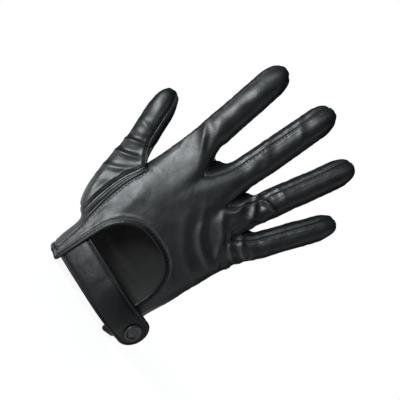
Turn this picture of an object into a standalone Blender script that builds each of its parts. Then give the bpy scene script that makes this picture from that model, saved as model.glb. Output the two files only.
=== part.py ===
"""A right-hand leather driving glove, worn shape, fingers up.

The row frame is metres: +Z runs from the cuff to the fingertips, the back of
the hand faces -Y, the thumb is at -X, and the origin is the middle of the
wrist opening.  Every leather panel is cut from one closed cage of the hand:
a tube of rows round the palm, one tube of rings for each finger, and a thumb
tube that grows out of a loop in the side of the hand.
"""
from math import cos, pi, radians, sin, sqrt, tan

import bpy
from mathutils import Matrix, Vector

# ---- driving dimensions, in metres ------------------------------------------
LEATHER = 0.0010            # thickness of a leather panel
FOURCHETTE = 0.0007         # the thinner pieces between the fingers
FACING = 0.0006             # thickness of the thin leathers
SEAM_GAP = 0.0003           # what stays open between two pieces
ROWS = 8                    # rows of the hand, cuff to crotch
ROW = 0.0125                # height of a row below the knuckles
THUMB_ROWS = (2, 6)         # rows that the thumb's loop spans
KEY_ROW = 4                 # row at the top of the keyhole
KEY_COLUMNS = (2, 14)       # columns at the sides of the keyhole
KEY_HALF, KEY_MIDDLE = 0.0252, -0.0030
KEY_SPRING, KEY_TOP = 0.026, 0.0552
FLEX = 70                   # largest bend of a finger, degrees
STRAP_LOW, STRAP_HIGH = 0.0028, 0.0244
SECTION_POWER = 2.3         # how square the hand's sections are
SEAM_AT = 0.93              # a panel's edge, as a share of the half width

# Silhouette of the hand: height, thumb side, little-finger side, back, palm.
SECTIONS = [
    (0.000, -0.0352, 0.0335, 0.0205, 0.0190),
    (0.012, -0.0375, 0.0338, 0.0200, 0.0185),
    (0.025, -0.0395, 0.0343, 0.0190, 0.0180),
    (0.037, -0.0425, 0.0350, 0.0180, 0.0176),
    (0.050, -0.0450, 0.0356, 0.0170, 0.0170),
    (0.062, -0.0462, 0.0360, 0.0161, 0.0162),
    (0.075, -0.0452, 0.0365, 0.0153, 0.0150),
    (0.088, -0.0448, 0.0378, 0.0145, 0.0134),
    (0.104, -0.0462, 0.0405, 0.0130, 0.0115),
]
# Finger roots on the back and in the palm: (column, x, z).
BACK_ROOT = [(0, -0.0440, 0.105), (2, -0.0325, 0.107), (4, -0.0200, 0.101),
             (6, -0.0085, 0.107), (8, 0.0034, 0.103), (10, 0.0130, 0.105),
             (12, 0.0222, 0.0950), (14, 0.0308, 0.0950), (16, 0.0386, 0.0895)]
PALM_ROOT = [(0, -0.0440, 0.107), (2, -0.0330, 0.112), (4, -0.0212, 0.111),
             (6, -0.0088, 0.115), (8, 0.0034, 0.113), (10, 0.0132, 0.113),
             (12, 0.0224, 0.1040), (14, 0.0310, 0.1005), (16, 0.0386, 0.0930)]
THENAR = [(-0.0305, 2), (-0.0280, 3), (-0.0275, 4), (-0.0310, 5), (-0.0410, 6)]

# Finger: root and tip of the centreline (x, z), half width, half thickness,
# roll in degrees, and how far the tip curls towards the palm.
FINGERS = {
    "index": ((-0.0344, 0.096), (-0.0462, 0.1808), 0.0094, 0.0091, -4, 0.006),
    "middle": ((-0.0066, 0.099), (-0.0078, 0.1922), 0.0098, 0.0091, -12, 0.005),
    "ring": ((0.0130, 0.097), (0.0288, 0.1850), 0.0092, 0.0087, -15, 0.006),
    "little": ((0.0296, 0.088), (0.0536, 0.1563), 0.0086, 0.0080, -18, 0.007),
}
KNUCKLE = 0.47              # where a finger bends, as a share of its length
NEAR_RINGS = (0.24, 0.31, 0.39)
FAR_RINGS = (0.58, 0.70, 0.81)
ROUND_RINGS = (0.0, 0.60, 0.88)   # along the round end, as shares of its length
THUMB_KNUCKLE = Vector((-0.0600, 0.0090, 0.0865))
THUMB_TIP = Vector((-0.0733, 0.0130, 0.1155))
THUMB_HALF, THUMB_THICK, THUMB_ROLL = 0.0090, 0.0090, 30
THUMB_BASE_RINGS = (0.13, 0.40, 0.70)   # the first is the edge of the palm's wrap
THUMB_RINGS = (0.25, 0.50)
HINGE_DEPTH = 0.35          # hinge below the middle, as a share of the half thickness
# The section of a finger: (sideways, backwards) as shares of its half sizes.
RING = [(-0.80, 0.55), (-0.45, 0.93), (0.0, 1.05), (0.45, 0.93), (0.80, 0.55),
        (1.02, 0.0),
        (0.80, -0.55), (0.45, -0.95), (0.0, -1.02), (-0.45, -0.95), (-0.80, -0.55),
        (-1.02, 0.0)]
NAMES = list(FINGERS)


# ---- the hand's surface -------------------------------------------------------
def between(table, at, column):
    """Value of a column of a table at a height, straight between its lines."""
    for low, high in zip(table, table[1:]):
        if at <= high[0]:
            break
    share = max(0.0, min(1.0, (at - low[0]) / (high[0] - low[0])))
    return low[column] + share * (high[column] - low[column])


def section(z):
    """Middle, half width, back height and palm height of the hand at z."""
    left, right = between(SECTIONS, z, 1), between(SECTIONS, z, 2)
    return (left + right) / 2, (right - left) / 2, between(SECTIONS, z, 3), between(SECTIONS, z, 4)


def on_hand(x, z, side):
    """The point of the hand's skin over (x, z): side -1 is the back, +1 the palm."""
    middle, half, back, palm = section(z)
    inside = max(0.0, 1 - min(1.0, abs(x - middle) / half) ** SECTION_POWER)
    height = inside ** (1 / SECTION_POWER)
    return Vector((x, (palm if side > 0 else -back) * height, z))


def keyhole_edge(step, steps):
    """(x, z) on the keyhole's arch, from its thumb side over to the other."""
    turn = pi * (1 - step / steps)
    power = 2 / 2.5
    across = abs(cos(turn)) ** power * (1 if cos(turn) > 0 else -1)
    return KEY_MIDDLE + KEY_HALF * across, KEY_SPRING + (KEY_TOP - KEY_SPRING) * sin(turn) ** power


def relaxed(grid, fixed, rounds=80):
    """Evens out a grid of (x, z) points whose fixed ones stay put."""
    for _ in range(rounds):
        for (row, column), (x, z) in grid.items():
            if (row, column) in fixed:
                continue
            around = [grid[k] for k in ((row - 1, column), (row + 1, column),
                                        (row, column - 1), (row, column + 1)) if k in grid]
            grid[row, column] = (sum(p[0] for p in around) / len(around),
                                 sum(p[1] for p in around) / len(around))
    return grid


def hand_grid(side):
    """(row, column) -> point of one side of the hand, keyhole left out."""
    root = BACK_ROOT if side < 0 else PALM_ROOT
    grid, fixed = {}, set()
    for row in range(ROWS + 1):
        for column in range(17):
            level = min(row, 6) * ROW
            middle, half, _, _ = section(level)
            x = middle + SEAM_AT * half * (column / 8 - 1)
            if side > 0 and column == 0 and THUMB_ROWS[0] <= row <= THUMB_ROWS[1]:
                x = THENAR[row - THUMB_ROWS[0]][0]
            z = level
            if row > 6:
                share = (row - 6) / (ROWS - 6)
                x += share * (between(root, column, 1) - x)
                z += share * (between(root, column, 2) - z)
            grid[row, column] = (x, z)
            if row in (0, ROWS) or column in (0, 16):
                fixed.add((row, column))
    if side < 0:
        low, high = KEY_COLUMNS
        edge = [(r, low) for r in range(2, KEY_ROW)]
        edge += [(KEY_ROW, c) for c in range(low, high + 1)]
        edge += [(r, high) for r in range(KEY_ROW - 1, 1, -1)]
        for step, key in enumerate(edge):
            grid[key] = keyhole_edge(step, len(edge) - 1)
            fixed.add(key)
        for row in (0, 1):
            for column, x in ((low, KEY_MIDDLE - KEY_HALF), (high, KEY_MIDDLE + KEY_HALF)):
                grid[row, column] = (x, row * ROW)
                fixed.add((row, column))
        for column in (1, 15):
            grid[0, column] = ((grid[0, column - 1][0] + grid[0, column + 1][0]) / 2, 0)
        for key in [(r, c) for r in range(KEY_ROW) for c in range(low + 1, high)]:
            del grid[key]
    points = {key: on_hand(x, z, side) for key, (x, z) in relaxed(grid, fixed).items()}
    for row, dip in ((ROWS - 1, 0.0008), (ROWS, 0.0022)):
        for column in (4, 8, 12):
            points[row, column].y -= side * dip
    return points


# ---- fingers ------------------------------------------------------------------
def finger_axes(direction, roll):
    """Sideways and backwards directions of a ring, turned by roll degrees."""
    side = Vector((0, 1, 0)).cross(direction).normalized()
    back = side.cross(direction).normalized()
    turn = Matrix.Rotation(radians(roll), 3, -direction)
    return turn @ side, turn @ back


def ring_points(centre, direction, half, thick, roll, lean=0.0, close=1.0):
    """The twelve points of a ring.  lean slants its palm side along the finger,
    as the notch that lets the finger bend; close draws the seams together."""
    side, back = finger_axes(direction, roll)
    points = []
    for across, height in RING:
        if abs(height) == 0.55:
            height *= close
        below = max(0.0, -HINGE_DEPTH * (height != 0) - height) * thick
        slant = lean * (below * tan(radians(FLEX / 2 + 3)) + SEAM_GAP / 2)
        points.append(centre + side * across * half + back * height * thick + direction * slant)
    return points


def rounded_rings(place, direction, half, thick, roll, start, length):
    """Rings of the round end of a finger, and the points along its tip seam."""
    rings = []
    for share in ROUND_RINGS:
        size = sqrt(1 - share ** 2)
        rings.append(ring_points(place(start + share * length), direction, half * size,
                                 thick * size, roll, close=0.8 - 0.3 * share))
    side, _ = finger_axes(direction, roll)
    tip = place(start + length)
    return rings, [tip + side * across * half for across in (-0.26, 0.0, 0.26)]


def finger(name):
    """Rings before and after the knuckle, the tip seam, and the knuckle's hinge."""
    (x0, z0), (x1, z1), half, thick, roll, curl = FINGERS[name]
    root, tip = Vector((x0, 0, z0)), Vector((x1, 0, z1))
    length = (tip - root).length

    def place(share):
        return root.lerp(tip, share) + Vector((0, curl * share * share, 0))

    def heading(share):
        return (place(share + 0.01) - place(share - 0.01)).normalized()

    def width(share):
        return 1.04 - 0.07 * share

    near = [ring_points(place(s), heading(s), half * width(s), thick * width(s), roll)
            for s in NEAR_RINGS]
    at, line = place(KNUCKLE), heading(KNUCKLE)
    size = width(KNUCKLE)
    near.append(ring_points(at, line, half * size, thick * size, roll, lean=-1))
    far = [ring_points(at, line, half * size, thick * size, roll, lean=1)]
    far += [ring_points(place(s), heading(s), half * width(s), thick * width(s), roll)
            for s in FAR_RINGS]
    size = width(0.9)
    end = 1 - 1.15 * half / length
    rings, seam = rounded_rings(place, heading(0.97), half * size, thick * size, roll, end, 1 - end)
    side, back = finger_axes(line, roll)
    return near, far + rings, seam, (at - back * HINGE_DEPTH * thick, -side)


def thumb(loop):
    """The thumb's rings, from its loop in the side of the hand to its tip."""
    line = (THUMB_TIP - THUMB_KNUCKLE).normalized()
    length = (THUMB_TIP - THUMB_KNUCKLE).length

    def place(share):
        return THUMB_KNUCKLE + line * length * share

    near_end = ring_points(THUMB_KNUCKLE, line, THUMB_HALF, THUMB_THICK, THUMB_ROLL, lean=-1)
    near = []
    for s in THUMB_BASE_RINGS:
        ring = []
        for index, (low, high) in enumerate(zip(loop, near_end)):
            reach = (high - low).length
            leave = Vector((-0.93, 0.10 * (1 if index > 5 else -1), 0.30)) * reach * 0.95
            arrive = line * reach * 0.80
            ring.append(low * (1 - 3 * s ** 2 + 2 * s ** 3) + high * (3 * s ** 2 - 2 * s ** 3)
                        + leave * (s - 2 * s ** 2 + s ** 3) + arrive * (s ** 3 - s ** 2))
        near.append(ring)
    near.append(near_end)
    far = [ring_points(THUMB_KNUCKLE, line, THUMB_HALF, THUMB_THICK, THUMB_ROLL, lean=1)]
    far += [ring_points(place(s), line, THUMB_HALF, THUMB_THICK, THUMB_ROLL) for s in THUMB_RINGS]
    end = 1 - 1.3 * THUMB_HALF / length
    rings, seam = rounded_rings(place, line, THUMB_HALF * 0.96, THUMB_THICK * 0.96,
                                THUMB_ROLL, end, 1 - end)
    side, back = finger_axes(line, THUMB_ROLL)
    return near, far + rings, seam, (THUMB_KNUCKLE - back * HINGE_DEPTH * THUMB_THICK, -side)


# ---- the cage: points by name, and faces sorted into panels ---------------------
class Cage:
    """Named points, and the faces of each panel as tuples of names."""

    def __init__(self):
        self.points = {}
        self.panels = {}

    def face(self, panel, *names):
        self.panels.setdefault(panel, []).append(names)

    def normals(self):
        """Outward direction at each point, from the faces of every panel."""
        total = {name: Vector() for name in self.points}
        for faces in self.panels.values():
            for names in faces:
                corners = [self.points[n] for n in names]
                area = (corners[2] - corners[0]).cross(corners[-1] - corners[1])
                for n in names:
                    total[n] += area
        return {name: way.normalized() for name, way in total.items()}


def tube(cage, rings, panel_of):
    """Faces between rings of names that run round the same way."""
    for low, high in zip(rings, rings[1:]):
        count = len(low)
        for i in range(count):
            j = (i + 1) % count
            panel = panel_of(i)
            if panel:
                cage.face(panel, low[i], low[j], high[j], high[i])


def fingertip(cage, ring, seam, back, palm):
    """Closes a finger: back and palm meet along the tip seam."""
    line = [ring[11], *seam, ring[5]]
    for i in range(4):
        cage.face(back, ring[i], ring[i + 1], line[i + 1], line[i])
        cage.face(palm, line[i], line[i + 1], ring[9 - i], ring[10 - i])


def name_rings(cage, label, rings):
    named = []
    for k, ring in enumerate(rings):
        named.append([(label, k, i) for i in range(12)])
        cage.points.update(zip(named[-1], ring))
    return named


def build_cage():
    """The whole glove as a cage, and the hinge of each digit."""
    cage, hinges = Cage(), {}
    back, palm = hand_grid(-1), hand_grid(1)
    cage.points.update({("b", *key): p for key, p in back.items()})
    cage.points.update({("p", *key): p for key, p in palm.items()})
    first, last = THUMB_ROWS
    for row in range(ROWS + 1):
        a, b = back[row, 0], palm[row, 0]
        if not first < row < last:
            middle, half, _, _ = section((a.z + b.z) / 2)
            cage.points["t", row] = Vector((middle - half, (a.y + b.y) / 2, (a.z + b.z) / 2))
        a, b = back[row, 16], palm[row, 16]
        middle, half, _, _ = section((a.z + b.z) / 2)
        cage.points["u", row] = Vector((middle + half, (a.y + b.y) / 2, (a.z + b.z) / 2))
    for row in range(ROWS):
        for c in range(16):
            if ("b", row, c) in cage.points and not (
                    row < KEY_ROW and KEY_COLUMNS[0] <= c < KEY_COLUMNS[1]):
                cage.face("back_panel", ("b", row, c), ("b", row, c + 1),
                          ("b", row + 1, c + 1), ("b", row + 1, c))
            cage.face("palm_panel", ("p", row, c + 1), ("p", row, c),
                      ("p", row + 1, c), ("p", row + 1, c + 1))
        cage.face("back_panel", ("b", row, 16), ("u", row), ("u", row + 1), ("b", row + 1, 16))
        cage.face("palm_panel", ("u", row), ("p", row, 16), ("p", row + 1, 16), ("u", row + 1))
        if not first <= row < last:
            side = "palm_panel" if row < first else "back_panel"
            cage.face("palm_panel", ("p", row, 0), ("t", row), ("t", row + 1), ("p", row + 1, 0))
            cage.face(side, ("t", row), ("b", row, 0), ("b", row + 1, 0), ("t", row + 1))
    for f in range(3):
        a, b = back[ROWS, 4 * f + 4], palm[ROWS, 4 * f + 4]
        cage.points["m", f] = Vector(((a.x + b.x) / 2, 0.001, b.z + 0.001))
    for f, name in enumerate(NAMES):
        near, far, seam, hinges[name] = finger(name)
        root = [("b", ROWS, 4 * f + i) for i in range(5)]
        root.append(("m", f) if f < 3 else ("u", ROWS))
        root += [("p", ROWS, 4 * f + 4 - i) for i in range(5)]
        root.append(("m", f - 1) if f > 0 else ("t", ROWS))
        left = f"fourchette_{NAMES[f - 1]}_{name}" if f else None
        right = f"fourchette_{name}_{NAMES[f + 1]}" if f < 3 else None

        def near_panel(i, left=left, right=right):
            if i in (4, 5):
                return right or ("back_panel", "palm_panel")[i - 4]
            if i in (10, 11):
                return left or ("palm_panel", "back_panel")[i - 10]
            return "back_panel" if i < 4 else "palm_panel"

        def far_panel(i, name=name, left=left, right=right):
            if i in (4, 5) and right:
                return f"{name}_tip_fourchette_little_side"
            if i in (10, 11) and left:
                return f"{name}_tip_fourchette_thumb_side"
            return f"{name}_tip_back" if i in (0, 1, 2, 3, 4, 11) else f"{name}_tip_palm"

        tube(cage, [root, *name_rings(cage, name, near)], near_panel)
        rings = name_rings(cage, name + "_far", far)
        tube(cage, rings, far_panel)
        seam_names = [(name + "_seam", i) for i in range(3)]
        cage.points.update(zip(seam_names, seam))
        fingertip(cage, rings[-1], seam_names, f"{name}_tip_back", f"{name}_tip_palm")
    loop = [("b", r, 0) for r in range(first, last + 1)] + [("t", last)]
    loop += [("p", r, 0) for r in range(last, first - 1, -1)] + [("t", first)]
    near, far, seam, hinges["thumb"] = thumb([cage.points[n] for n in loop])
    rings = name_rings(cage, "thumb", near)
    tube(cage, [loop, rings[0]], lambda i: "thumb_base_palm" if 6 <= i <= 9 else "palm_panel")
    tube(cage, rings, lambda i: "thumb_base_back" if i in (0, 1, 2, 3, 11) else "thumb_base_palm")
    rings = name_rings(cage, "thumb_far", far)
    tube(cage, rings, lambda i: "thumb_tip_back" if i in (0, 1, 2, 3, 11) else "thumb_tip_palm")
    seam_names = [("thumb_seam", i) for i in range(3)]
    cage.points.update(zip(seam_names, seam))
    fingertip(cage, rings[-1], seam_names, "thumb_tip_back", "thumb_tip_palm")
    return cage, hinges


# ---- solids ---------------------------------------------------------------------
MATERIALS = {
    "leather": ((0.022, 0.024, 0.027, 1), 0.42, 0.0),
    "facing": ((0.030, 0.031, 0.034, 1), 0.75, 0.0),
    "snap": ((0.035, 0.036, 0.038, 1), 0.35, 0.6),
    "steel": ((0.45, 0.45, 0.46, 1), 0.30, 1.0),
}


def material(name):
    made = bpy.data.materials.get(name)
    if made is None:
        made = bpy.data.materials.new(name)
        made.use_nodes = True
        colour, roughness, metallic = MATERIALS[name]
        shader = made.node_tree.nodes["Principled BSDF"]
        shader.inputs["Base Color"].default_value = colour
        shader.inputs["Roughness"].default_value = roughness
        shader.inputs["Metallic"].default_value = metallic
    return made


def add_object(name, points, faces, finish):
    mesh = bpy.data.meshes.new(name)
    mesh.from_pydata([tuple(p) for p in points], [], faces)
    mesh.materials.append(material(finish))
    made = bpy.data.objects.new(name, mesh)
    bpy.context.scene.collection.objects.link(made)
    return made


def shell(name, points, normals, faces, top, bottom, finish="leather", inset=SEAM_GAP / 2):
    """A closed sheet: faces at depths top and bottom below the skin, and a rim."""
    uses = {}
    for names in faces:
        for a, b in zip(names, names[1:] + names[:1]):
            uses[a, b] = names
    rim = [(a, b) for a, b in uses if (b, a) not in uses]
    inward = {}
    for a, b in rim:
        middle = sum((points[n] for n in uses[a, b]), Vector()) / len(uses[a, b])
        along = (points[b] - points[a]).normalized()
        across = middle - points[a]
        across = (across - along * across.dot(along)).normalized()
        inward.setdefault(a, []).append(across)
        inward.setdefault(b, []).append(across)
    order = sorted({n for names in faces for n in names}, key=str)
    place = {n: i for i, n in enumerate(order)}
    outer = []
    for n in order:
        p = points[n].copy()
        if n in inward:
            first, second = inward[n][0], inward[n][-1]
            p += (first + second) * inset / max(0.22, 1 + first.dot(second))
        outer.append(p)
    count = len(order)
    both = [p - normals[n] * top for n, p in zip(order, outer)]
    both += [p - normals[n] * bottom for n, p in zip(order, outer)]
    polygons = [[place[n] for n in names] for names in faces]
    polygons += [[place[n] + count for n in reversed(names)] for names in faces]
    for a, b in rim:
        at, to = place[a], place[b]
        if str(a) < str(b):
            polygons += [[to, at, to + count], [at, at + count, to + count]]
        else:
            polygons += [[to, at, at + count], [to, at + count, to + count]]
    return add_object(name, both, polygons, finish)


def keyhole_facing(cage, normals):
    """The strip that backs the keyhole's edge, inside the back panel."""
    low, high = KEY_COLUMNS
    edge = [((r, low), (r, low - 1)) for r in range(2, KEY_ROW)]
    edge += [((KEY_ROW, low), (KEY_ROW + 1, low - 1))]
    edge += [((KEY_ROW, c), (KEY_ROW + 1, c)) for c in range(low + 1, high)]
    edge += [((KEY_ROW, high), (KEY_ROW + 1, high + 1))]
    edge += [((r, high), (r, high + 1)) for r in range(KEY_ROW - 1, 1, -1)]
    points, ways = {}, {}
    for i, (at, away) in enumerate(edge):
        p, q = cage.points["b", *at], cage.points["b", *away]
        for side, distance in (("in", 0.0006), ("out", 0.0042)):
            points[side, i] = p + (q - p).normalized() * distance
            ways[side, i] = normals["b", *at]
    faces = [(("out", i), ("in", i), ("in", i + 1), ("out", i + 1)) for i in range(len(edge) - 1)]
    shell("keyhole_facing", points, ways, faces, LEATHER + SEAM_GAP + 0.0002,
          LEATHER + SEAM_GAP + 0.0002 + FACING, "facing", inset=0.0)


# ---- strap and snap ---------------------------------------------------------------
STRAP_Z = (STRAP_LOW + STRAP_HIGH) / 2
STRAP_HALF = (STRAP_HIGH - STRAP_LOW) / 2
STRAP_START_X, TANGENT_X = -0.0252, 0.0250
START_OFFSET, END_OFFSET = -0.0030, 0.0050   # strap's underside, out of the hand's skin
SNAP_AT = 0.0080            # snap's centre, along the flat end of the strap
TAB_OFFSET, TAB_THICK = 0.0007, 0.0012
LINING_TO_OUTER = FACING + SEAM_GAP
ANCHOR_X = (-0.0345, -0.0277)
SNAP_SIDES = 32
STRAP_PIECES = ("strap_outer", "strap_lining", "snap_cap", "snap_socket")


def wrist_frame(x):
    """Point, tangent and outward normal of the wrist's back at x."""
    step = 0.0004
    a, b = on_hand(x - step, STRAP_Z, -1), on_hand(x + step, STRAP_Z, -1)
    along = Vector((b.x - a.x, b.y - a.y, 0)).normalized()
    p = on_hand(x, STRAP_Z, -1)
    return Vector((p.x, p.y, 0)), along, Vector((along.y, -along.x, 0))


def strap_line():
    """(point, normal, distance past the snap) along the strap's underside."""
    line = []
    steps = 14
    for i in range(steps + 1):
        share = i / steps
        p, _, out = wrist_frame(STRAP_START_X + (TANGENT_X - STRAP_START_X) * share)
        rise = share * share * (3 - 2 * share)
        line.append((p + out * (START_OFFSET + (END_OFFSET - START_OFFSET) * rise), out, -1.0))
    start, along, out = wrist_frame(TANGENT_X)
    base = start + out * END_OFFSET
    line.append((base + along * SNAP_AT / 2, out, -1.0))
    for share in (0.0, 0.35, 0.62, 0.82, 0.94, 0.99):
        line.append((base + along * (SNAP_AT + STRAP_HALF * share), out, share))
    return line


def strap_layer(name, low, high, finish, inset=0.0):
    """One leather of the strap, between two offsets from its underside."""
    across = (-1.0, -0.5, 0.0, 0.5, 1.0)
    points, ways, faces = {}, {}, []
    line = strap_line()
    for i, (p, out, past) in enumerate(line):
        half = (STRAP_HALF - inset) * (sqrt(1 - past * past) if past > 0 else 1.0)
        for j, share in enumerate(across):
            points[i, j] = p + Vector((0, 0, STRAP_Z + share * half))
            ways[i, j] = out
    for i in range(len(line) - 1):
        for j in range(len(across) - 1):
            faces.append(((i, j), (i + 1, j), (i + 1, j + 1), (i, j + 1)))
    return shell(name, points, ways, faces, -high, -low, finish, inset=0.0)


def snap_place(offset):
    """Frame at the snap's centre, offset out of the wrist's skin: Z is outwards."""
    start, along, out = wrist_frame(TANGENT_X)
    centre = start + along * SNAP_AT + out * offset + Vector((0, 0, STRAP_Z))
    frame = Matrix((along, Vector((0, 0, 1)), out)).transposed()
    if frame.determinant() < 0:
        frame = Matrix((-along, Vector((0, 0, 1)), out)).transposed()
    return Matrix.Translation(centre) @ frame.to_4x4()


def turned(name, profile, place, finish):
    """A solid of revolution about its own Z; profile is (radius, height), closed."""
    points, index = [], []
    for radius, height in profile:
        if radius == 0:
            index.append([len(points)] * SNAP_SIDES)
            points.append(Vector((0, 0, height)))
            continue
        index.append(list(range(len(points), len(points) + SNAP_SIDES)))
        for k in range(SNAP_SIDES):
            turn = 2 * pi * k / SNAP_SIDES
            points.append(Vector((radius * cos(turn), radius * sin(turn), height)))
    faces = []
    for low, high in zip(index, index[1:] + index[:1]):
        for k in range(SNAP_SIDES):
            n = (k + 1) % SNAP_SIDES
            corners = list(dict.fromkeys((low[k], low[n], high[n], high[k])))
            if len(corners) > 2:
                faces.append(corners)
    made = add_object(name, points, faces, finish)
    made.matrix_world = place
    made.data.shade_smooth()
    made.data.set_sharp_from_angle(angle=radians(35))
    return made


def hole_cutter(place):
    """A cylinder through the strap and the tab, for the snap's stems."""
    cutter = turned("snap_hole_cutter", [(0, -0.02), (0.0022, -0.02), (0.0022, 0.02), (0, 0.02)],
                    place, "steel")
    cutter.hide_render = True
    cutter.display_type = "WIRE"
    return cutter


def cut(target, cutter):
    modifier = target.modifiers.new("snap_hole", "BOOLEAN")
    modifier.object = cutter
    modifier.operation = "DIFFERENCE"
    modifier.solver = "EXACT"


def snap_tab():
    """The underlap on the little-finger side of the cuff, which holds the stud."""
    start, along, out = wrist_frame(TANGENT_X)
    half = STRAP_HALF - 0.0006
    points, ways, faces = {}, {}, []
    stations = [-0.0008, 0.0030, SNAP_AT]
    stations += [SNAP_AT + half * share for share in (0.45, 0.75, 0.93, 0.99)]
    across = (-1.0, -0.5, 0.0, 0.5, 1.0)
    for i, u in enumerate(stations):
        past = max(0.0, (u - SNAP_AT) / half)
        for j, share in enumerate(across):
            points[i, j] = (start + along * u
                            + Vector((0, 0, STRAP_Z + share * half * sqrt(1 - past * past))))
            ways[i, j] = out
    for i in range(len(stations) - 1):
        for j in range(len(across) - 1):
            faces.append(((i, j), (i + 1, j), (i + 1, j + 1), (i, j + 1)))
    return shell("snap_tab", points, ways, faces, -(TAB_OFFSET + TAB_THICK), -TAB_OFFSET,
                 "leather", inset=0.0)


def strap_anchor():
    """The strap's sewn root, under the thumb-side corner of the back panel."""
    points, ways, faces = {}, {}, []
    across = (0.0, 0.5, 1.0)
    steps = 3
    for i in range(steps + 1):
        x = ANCHOR_X[0] + (ANCHOR_X[1] - ANCHOR_X[0]) * i / steps
        _, _, out = wrist_frame(x)
        for j, share in enumerate(across):
            z = STRAP_LOW + 0.0015 + (STRAP_HIGH - STRAP_LOW - 0.0030) * share
            points[i, j] = on_hand(x, z, -1)
            ways[i, j] = out
    for i in range(steps):
        for j in range(len(across) - 1):
            faces.append(((i, j), (i + 1, j), (i + 1, j + 1), (i, j + 1)))
    return shell("strap_anchor", points, ways, faces, 0.0023, 0.0038, "leather", inset=0.0)


def strap_and_snap():
    lining = strap_layer("strap_lining", 0.0, FACING, "facing", inset=0.0004)
    outer = strap_layer("strap_outer", LINING_TO_OUTER, LINING_TO_OUTER + LEATHER, "leather")
    tab = snap_tab()
    strap_anchor()
    cutter = hole_cutter(snap_place(0.0))
    for piece in (lining, outer, tab):
        cut(piece, cutter)
    top = END_OFFSET + LINING_TO_OUTER + LEATHER
    cap = [(0, 0.0003), (0.0050, 0.0003), (0.0057, 0.0006), (0.0058, 0.0011), (0.0053, 0.0017),
           (0.0042, 0.0020), (0.0038, 0.0017), (0.0020, 0.0018), (0, 0.0018)]
    stem = [(0, -0.0024), (0.0018, -0.0024), (0.0018, 0.0003)]
    turned("snap_cap", stem + cap[1:], snap_place(top), "snap")
    under = END_OFFSET - SEAM_GAP
    turned("snap_socket", [(0.0034, -0.0017), (0.0046, -0.0017), (0.0052, -0.0010),
                           (0.0052, 0.0), (0.0034, 0.0)], snap_place(under), "steel")
    floor = TAB_OFFSET + TAB_THICK + SEAM_GAP
    turned("snap_stud", [(0, -0.0019), (0.0018, -0.0019), (0.0018, 0.0), (0.0046, 0.0),
                         (0.0046, 0.0004), (0.0021, 0.0006), (0.0019, 0.0010), (0.0022, 0.0014),
                         (0.0020, 0.0020), (0.0010, 0.0022), (0, 0.0022)],
           snap_place(floor), "steel")
    turned("snap_eyelet", [(0.0021, -0.0006), (0.0046, -0.0006), (0.0046, -0.0002),
                           (0.0021, -0.0002)],
           snap_place(TAB_OFFSET - SEAM_GAP + 0.0002), "steel")


# ---- the model ----------------------------------------------------------------------
def hinge_empty(name, at, pieces):
    """An empty on a joint's axis, which carries the pieces that turn about it."""
    empty = bpy.data.objects.new(name + "_hinge", None)
    bpy.context.scene.collection.objects.link(empty)
    empty.location = at
    for piece in pieces:
        piece.parent = empty
        piece.matrix_parent_inverse = Matrix.Translation(-at)
    return empty


def hang_moving_pieces(hinges):
    """Parents each moving body's pieces to its hinge, and prints the hinges."""
    point, outwards, _ = strap_line()[0]
    hinges["strap"] = (point + outwards * LINING_TO_OUTER / 2, Vector((0, 0, -1)))
    moving = {name: [] for name in hinges}
    for piece in bpy.data.objects:
        if piece.name in STRAP_PIECES:
            moving["strap"].append(piece)
        elif "_tip_" in piece.name:
            moving[piece.name.split("_")[0]].append(piece)
    for name, (at, axis) in hinges.items():
        hinge_empty(name, at, moving[name])
        print("HINGE", name, [round(v, 5) for v in at], [round(v, 5) for v in axis])


def build():
    for old in list(bpy.data.objects):
        bpy.data.objects.remove(old)
    cage, hinges = build_cage()
    normals = cage.normals()
    for name in cage.points:
        if name[0] in "bptu" and len(name) > 1 and name[1] == 0:
            normals[name] = Vector((normals[name].x, normals[name].y, 0)).normalized()
    for panel, faces in cage.panels.items():
        shell(panel, cage.points, normals, faces, 0.0,
              FOURCHETTE if "fourchette" in panel else LEATHER)
    keyhole_facing(cage, normals)
    strap_and_snap()
    hang_moving_pieces(hinges)


build()
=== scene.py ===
"""The looks of a right-hand leather driving glove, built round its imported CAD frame.

One closed skin of the whole hand is subdivided, creased and seamed, then cut
into the glove's leather panels.  The panels get a thickness, a suede inside,
stitches along their seams, a bound edge, and the strap with its snap.
"""

from math import cos, pi, radians, sin, sqrt

import bmesh
import bpy
import numpy as np
from mathutils import Matrix, Vector, noise
from mathutils.bvhtree import BVHTree
from mathutils.kdtree import KDTree


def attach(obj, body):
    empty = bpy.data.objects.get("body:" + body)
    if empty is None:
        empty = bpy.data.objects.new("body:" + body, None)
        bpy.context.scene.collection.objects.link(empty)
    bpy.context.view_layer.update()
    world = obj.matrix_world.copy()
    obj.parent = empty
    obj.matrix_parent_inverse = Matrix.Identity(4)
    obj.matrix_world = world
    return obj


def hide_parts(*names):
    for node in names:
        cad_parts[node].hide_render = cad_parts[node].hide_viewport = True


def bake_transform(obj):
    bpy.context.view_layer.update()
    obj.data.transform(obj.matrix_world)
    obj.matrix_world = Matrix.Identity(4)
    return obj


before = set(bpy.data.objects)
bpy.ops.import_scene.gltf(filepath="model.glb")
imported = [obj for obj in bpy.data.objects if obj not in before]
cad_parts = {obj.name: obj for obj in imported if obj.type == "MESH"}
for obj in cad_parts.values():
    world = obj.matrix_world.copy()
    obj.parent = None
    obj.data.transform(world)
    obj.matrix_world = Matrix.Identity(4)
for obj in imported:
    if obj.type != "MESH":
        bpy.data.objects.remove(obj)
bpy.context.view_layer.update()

# ---- driving dimensions, in metres, the same as the CAD part's ----
ROWS, ROW = 8, 0.0125       # rows of the hand's grid, and a row's height
LEVEL_ROWS = 6              # those that lie level; the rest rise to the fingers' roots
COLUMNS = 16
THUMB_ROWS = (2, 6)
KEY_ROW, KEY_COLUMNS = 4, (2, 14)
KEY_HALF, KEY_MIDDLE = 0.0252, -0.0030
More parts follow.
